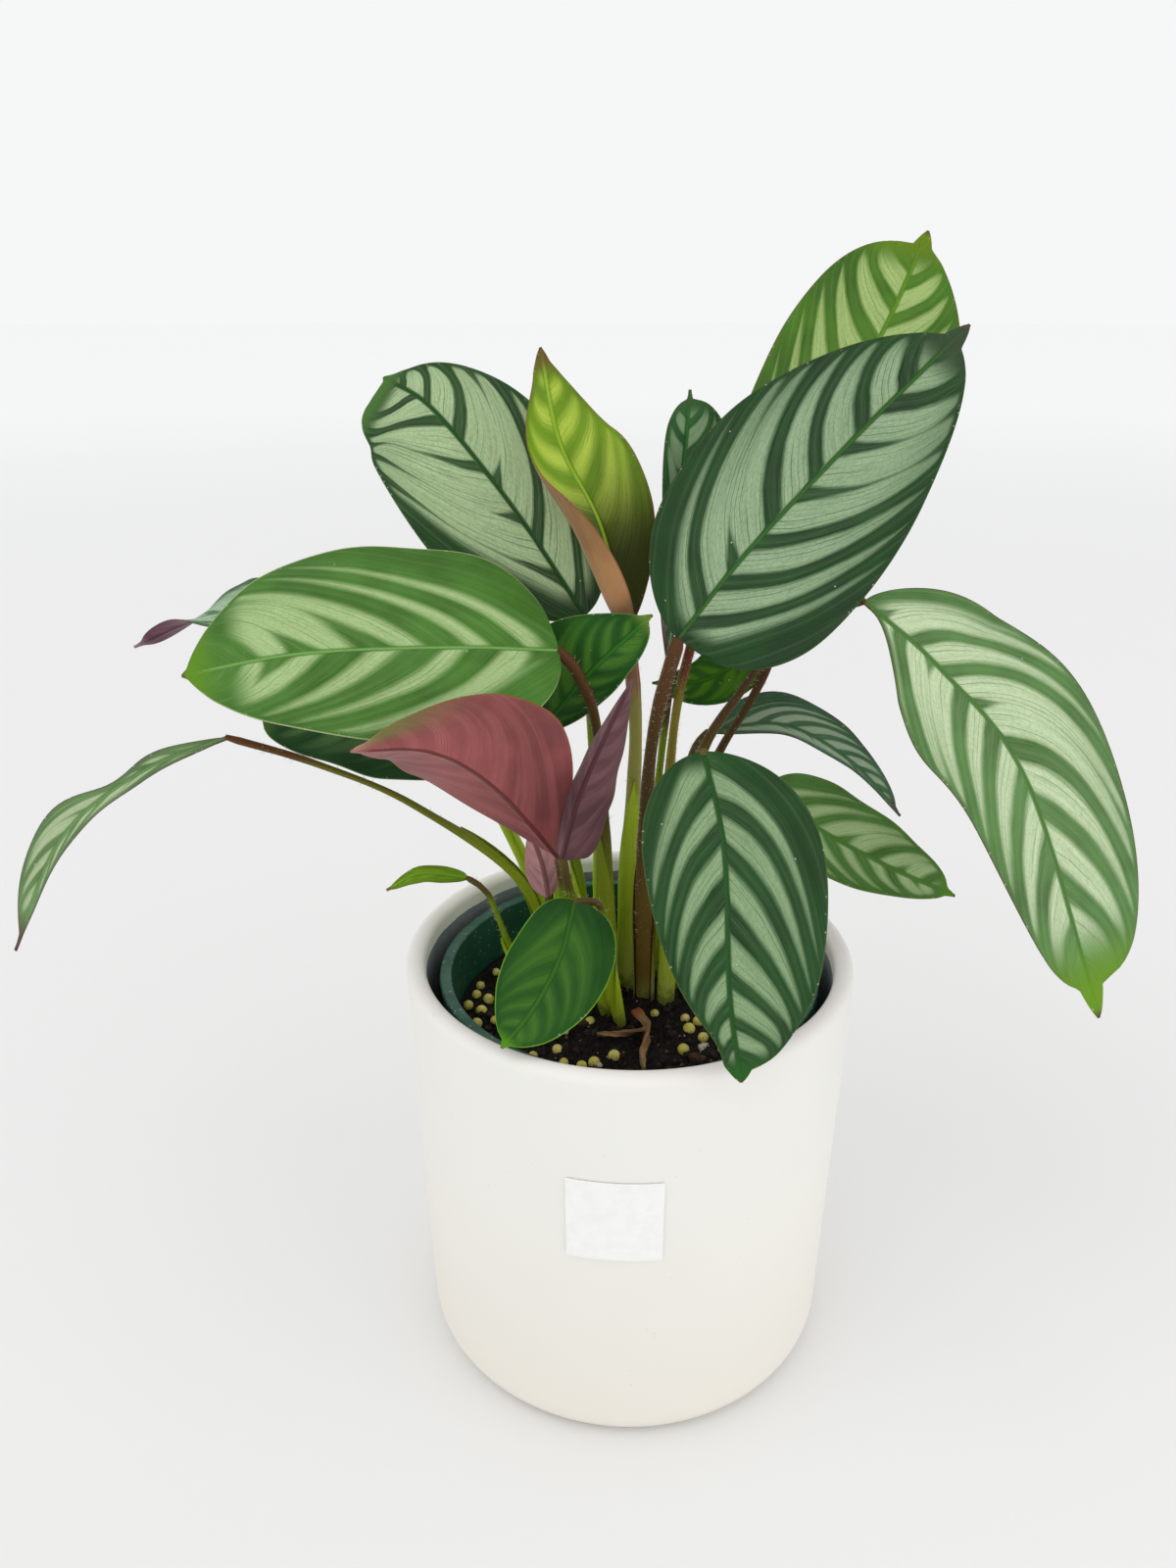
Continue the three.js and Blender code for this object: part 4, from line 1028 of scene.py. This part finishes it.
def more_bits(random, edge, taken):
    """Crumbs, grit and beads that lie between the others, the beads mostly at the front and the rim"""
    found = []
    for number in range(MORE_BITS):
        angle, reach = 2 * math.pi * random.random(), (edge - 2) * math.sqrt(random.random())
        x, y = about(0, 0, angle, reach)
        kind = "bead" if number % 3 == 0 else "grit" if number % 13 == 1 else "crumb"
        size = {"bead": 1.5 + 0.5 * random.random(), "grit": 0.5 + 0.5 * random.random(),
                "crumb": 0.5 + 1.1 * random.random() ** 2}[kind]
        if kind == "bead":
            outside = y > -14 and reach < 0.75 * edge and not (8 < x < 34 and y < 4)
            close = any(math.dist((x, y), place) < size + other for other, place in taken)
            if outside or close or near_something(x, y):
                continue
            taken.append((size, (x, y)))
        lift = 0.5 * size if kind == "bead" else 0.2
        found.append((kind, size, (x, y, soil_top(x, y) + lift), 0.6 * random.random(), 3 * random.random()))
    for leaf in LEAVES.values():
        for _ in range(CRUMBS_AT_STALK):
            angle, reach = 2 * math.pi * random.random(), 2.5 + 2.5 * random.random()
            place = (*about(*leaf["soil"], angle, reach), SOIL_HEIGHT + 3.4 - 0.5 * reach)
            found.append(("crumb", 0.6 + random.random(), place, 0.6 * random.random(), 3 * random.random()))
    return found


def lump(kind, size, random):
    """A bead, grit grain, bark chip or crumb as points and faces"""
    shape = bmesh.new()
    bmesh.ops.create_icosphere(shape, subdivisions=3 if kind == "bead" else 2, radius=1)
    points = np.array([v.co for v in shape.verts])
    faces = [tuple(v.index for v in f.verts) for f in shape.faces]
    shape.free()
    if kind == "bead":
        return points * (1 + 0.03 * random.standard_normal(3)) * size * 0.97, faces
    if kind == "bark":
        points = np.sign(points) * np.abs(points) ** 0.55 * (np.array(BARK_SIZE) / 2)
        return points * (1 + 0.12 * random.standard_normal((len(points), 1))), faces
    return points * size * (1 + 0.16 * random.standard_normal((len(points), 1))), faces


def soil(random):
    bottom = POT_FLOOR + NURSERY_FLOOR + 2 * FIT
    edge = nursery_inside(SOIL_HEIGHT) - FIT
    angles = turns(SOIL_SIDES)
    rings = [ring(nursery_inside(bottom) - FIT, angles, bottom)]
    for i in range(SOIL_RINGS, 0, -1):
        r = edge * i / SOIL_RINGS
        x, y = r * np.cos(angles), r * np.sin(angles)
        top = soil_top(x, y) if r < edge - 1 else SOIL_HEIGHT
        rings.append(ring(r, angles, top + (crumbs(x, y) if i < SOIL_RINGS else 0)))
    parts = Parts()
    ends = [(0, 0, bottom), (0, 0, soil_top(0, 0))]
    parts.add(np.concatenate([*rings, ends]), turned_faces(len(rings), SOIL_SIDES))
    chosen = bit_places()
    chosen += more_bits(random, edge, [(size, place[:2]) for kind, size, place, *_ in chosen])
    for kind, size, place, tilt, turn in chosen:
        points, faces = lump(kind, size, random)
        spin = np.array(Matrix.Rotation(turn, 3, "Z") @ Matrix.Rotation(tilt, 3, "X"))
        worn = {"bead": 1, "grit": 2, "bark": 3, "crumb": 4}[kind]
        parts.add(points @ spin.T + np.array(place), faces, worn)
    looks = [
        soil_look(), bead_look(), plain_look("perlite", (214, 206, 188), (160, 150, 130), 700, 0.85),
        plain_look("bark", (84, 56, 38), (40, 27, 20), 300, 0.8, 0.6),
        plain_look("crumbs", (24, 19, 16), (64, 50, 40), 500, 0.9, 0.6),
    ]
    stand_for(parts.make("potting_soil", looks, sharp=60), "soil")


# Dried strip and label

def twisted(parts, points, width, twists, steps, start):
    """A flat strip that twists along a curve, crinkled along its edges, with the share at its start"""
    shares = np.linspace(0, 1, steps)
    centre, along = even_points(points, shares)
    flat = unit(np.cross((0.0, 0.0, 1.0), along))
    flat = turned_about(flat, along, twists * np.pi * shares)
    thick = np.cross(along, flat)
    half = (width / 2) * (1 - 0.5 * shares) * (1 + 0.12 * np.sin(shares * 31))
    around = [(1, 1), (0.4, 0.7), (-0.3, 1.2), (-1, 0.8), (-1, -1), (-0.4, -0.6), (0.3, -1.2), (1, -0.8)]
    points = np.stack([centre + flat * (a * half)[:, None] + thick * (b * DRIED_THICKNESS / 2)
                       for a, b in around], axis=1)
    count = len(around)
    parts.add(points.reshape(-1, 3), tube_faces(steps, count),
              share=np.repeat(start + (1 - start) * shares, count),
              around=np.tile(np.arange(count) / count, steps))


def dried_strip():
    parts = Parts()
    twisted(parts, DRIED_STRIP, DRIED_WIDTH, DRIED_TURNS, 60, 0)
    twisted(parts, DRIED_SHRED, DRIED_SHRED_WIDTH, 1, 34, 0.3)
    stand_for(parts.make("dried_leaf_strip", [dried_look()]), "dried_strip")


def label():
    """A blank square of paper on the front of the pot"""
    columns = np.linspace(-0.5, 0.5, LABEL_STEPS + 1)
    angle = np.arcsin((LABEL_PLACE[0] + columns * LABEL_WIDTH) / POT_RIM_RADIUS)
    rows = []
    for out in (LABEL_THICKNESS, 0):
        for z in LABEL_PLACE[1] + columns * LABEL_WIDTH:
            rows.append(ring(pot_outside(z) + FIT + out, angle - np.pi / 2, z))
    faces = sum(skin_faces(LABEL_STEPS + 1, LABEL_STEPS + 1), [])
    paper = plain_look("label_paper", (248, 248, 246), (244, 244, 242), 300, 0.6, 0.02)
    stand_for(make_object("paper_label", np.concatenate(rows), faces, [paper]), "label")


# Stage: a pale floor, soft light and the camera of the photograph

def stage():
    look = Look("floor", Roughness=0.9, Specular_IOR_Level=0.1)
    far = look.node("ShaderNodeVectorMath", {0: look.place()}, "Value", operation="LENGTH")
    near = look.mix(look.noise(3), (234, 234, 233), (236, 236, 235))
    look.finish(near.coat((254, 254, 254), far.ramp(0.2, 4.5)))
    points = ring(FLOOR_REACH, turns(FLOOR_SIDES), 0)
    make_object("floor", points, [tuple(range(FLOOR_SIDES))], [look.material])

    world = bpy.data.worlds.new("studio")
    world.use_nodes = True
    shade = world.node_tree.nodes["Background"]
    shade.inputs["Color"].default_value = (0.99, 0.995, 1, 1)
    shade.inputs["Strength"].default_value = WORLD_LIGHT
    scene = bpy.context.scene
    scene.world = world
    for name, (place, size, power) in LAMPS.items():
        light = bpy.data.lights.new(name, "AREA")
        light.size = size * MM
        light.energy = power
        lamp = placed(name, light)
        lamp.location = Vector(place) * MM
        lamp.rotation_euler = (Vector((0, 0, 0.2)) - lamp.location).to_track_quat("-Z", "Y").to_euler()

    lens = bpy.data.cameras.new("camera")
    lens.lens = LENS
    lens.sensor_width = FILM_WIDTH
    scene.camera = placed("camera", lens)
    scene.camera.location = Vector(CAMERA_PLACE) * MM
    scene.camera.rotation_euler = (math.radians(CAMERA_TILT), 0, 0)
    scene.view_settings.view_transform = "Standard"


STALK_LOOKS = {name: stalk_look(f"stalk_{name}", colours) for name, colours in STALK_COLOURS.items()}
HAIR_LOOK = plain_look("hairs", (226, 220, 196), (190, 180, 150), 400, 0.6, 0.05)

stage()
cover_pot()
nursery_pot()
soil(np.random.default_rng(5))
dried_strip()
label()
for number, (key, details) in enumerate(LEAVES.items()):
    blade(key, details, 0.31 * number)
    stalk(key, details, np.random.default_rng(number))
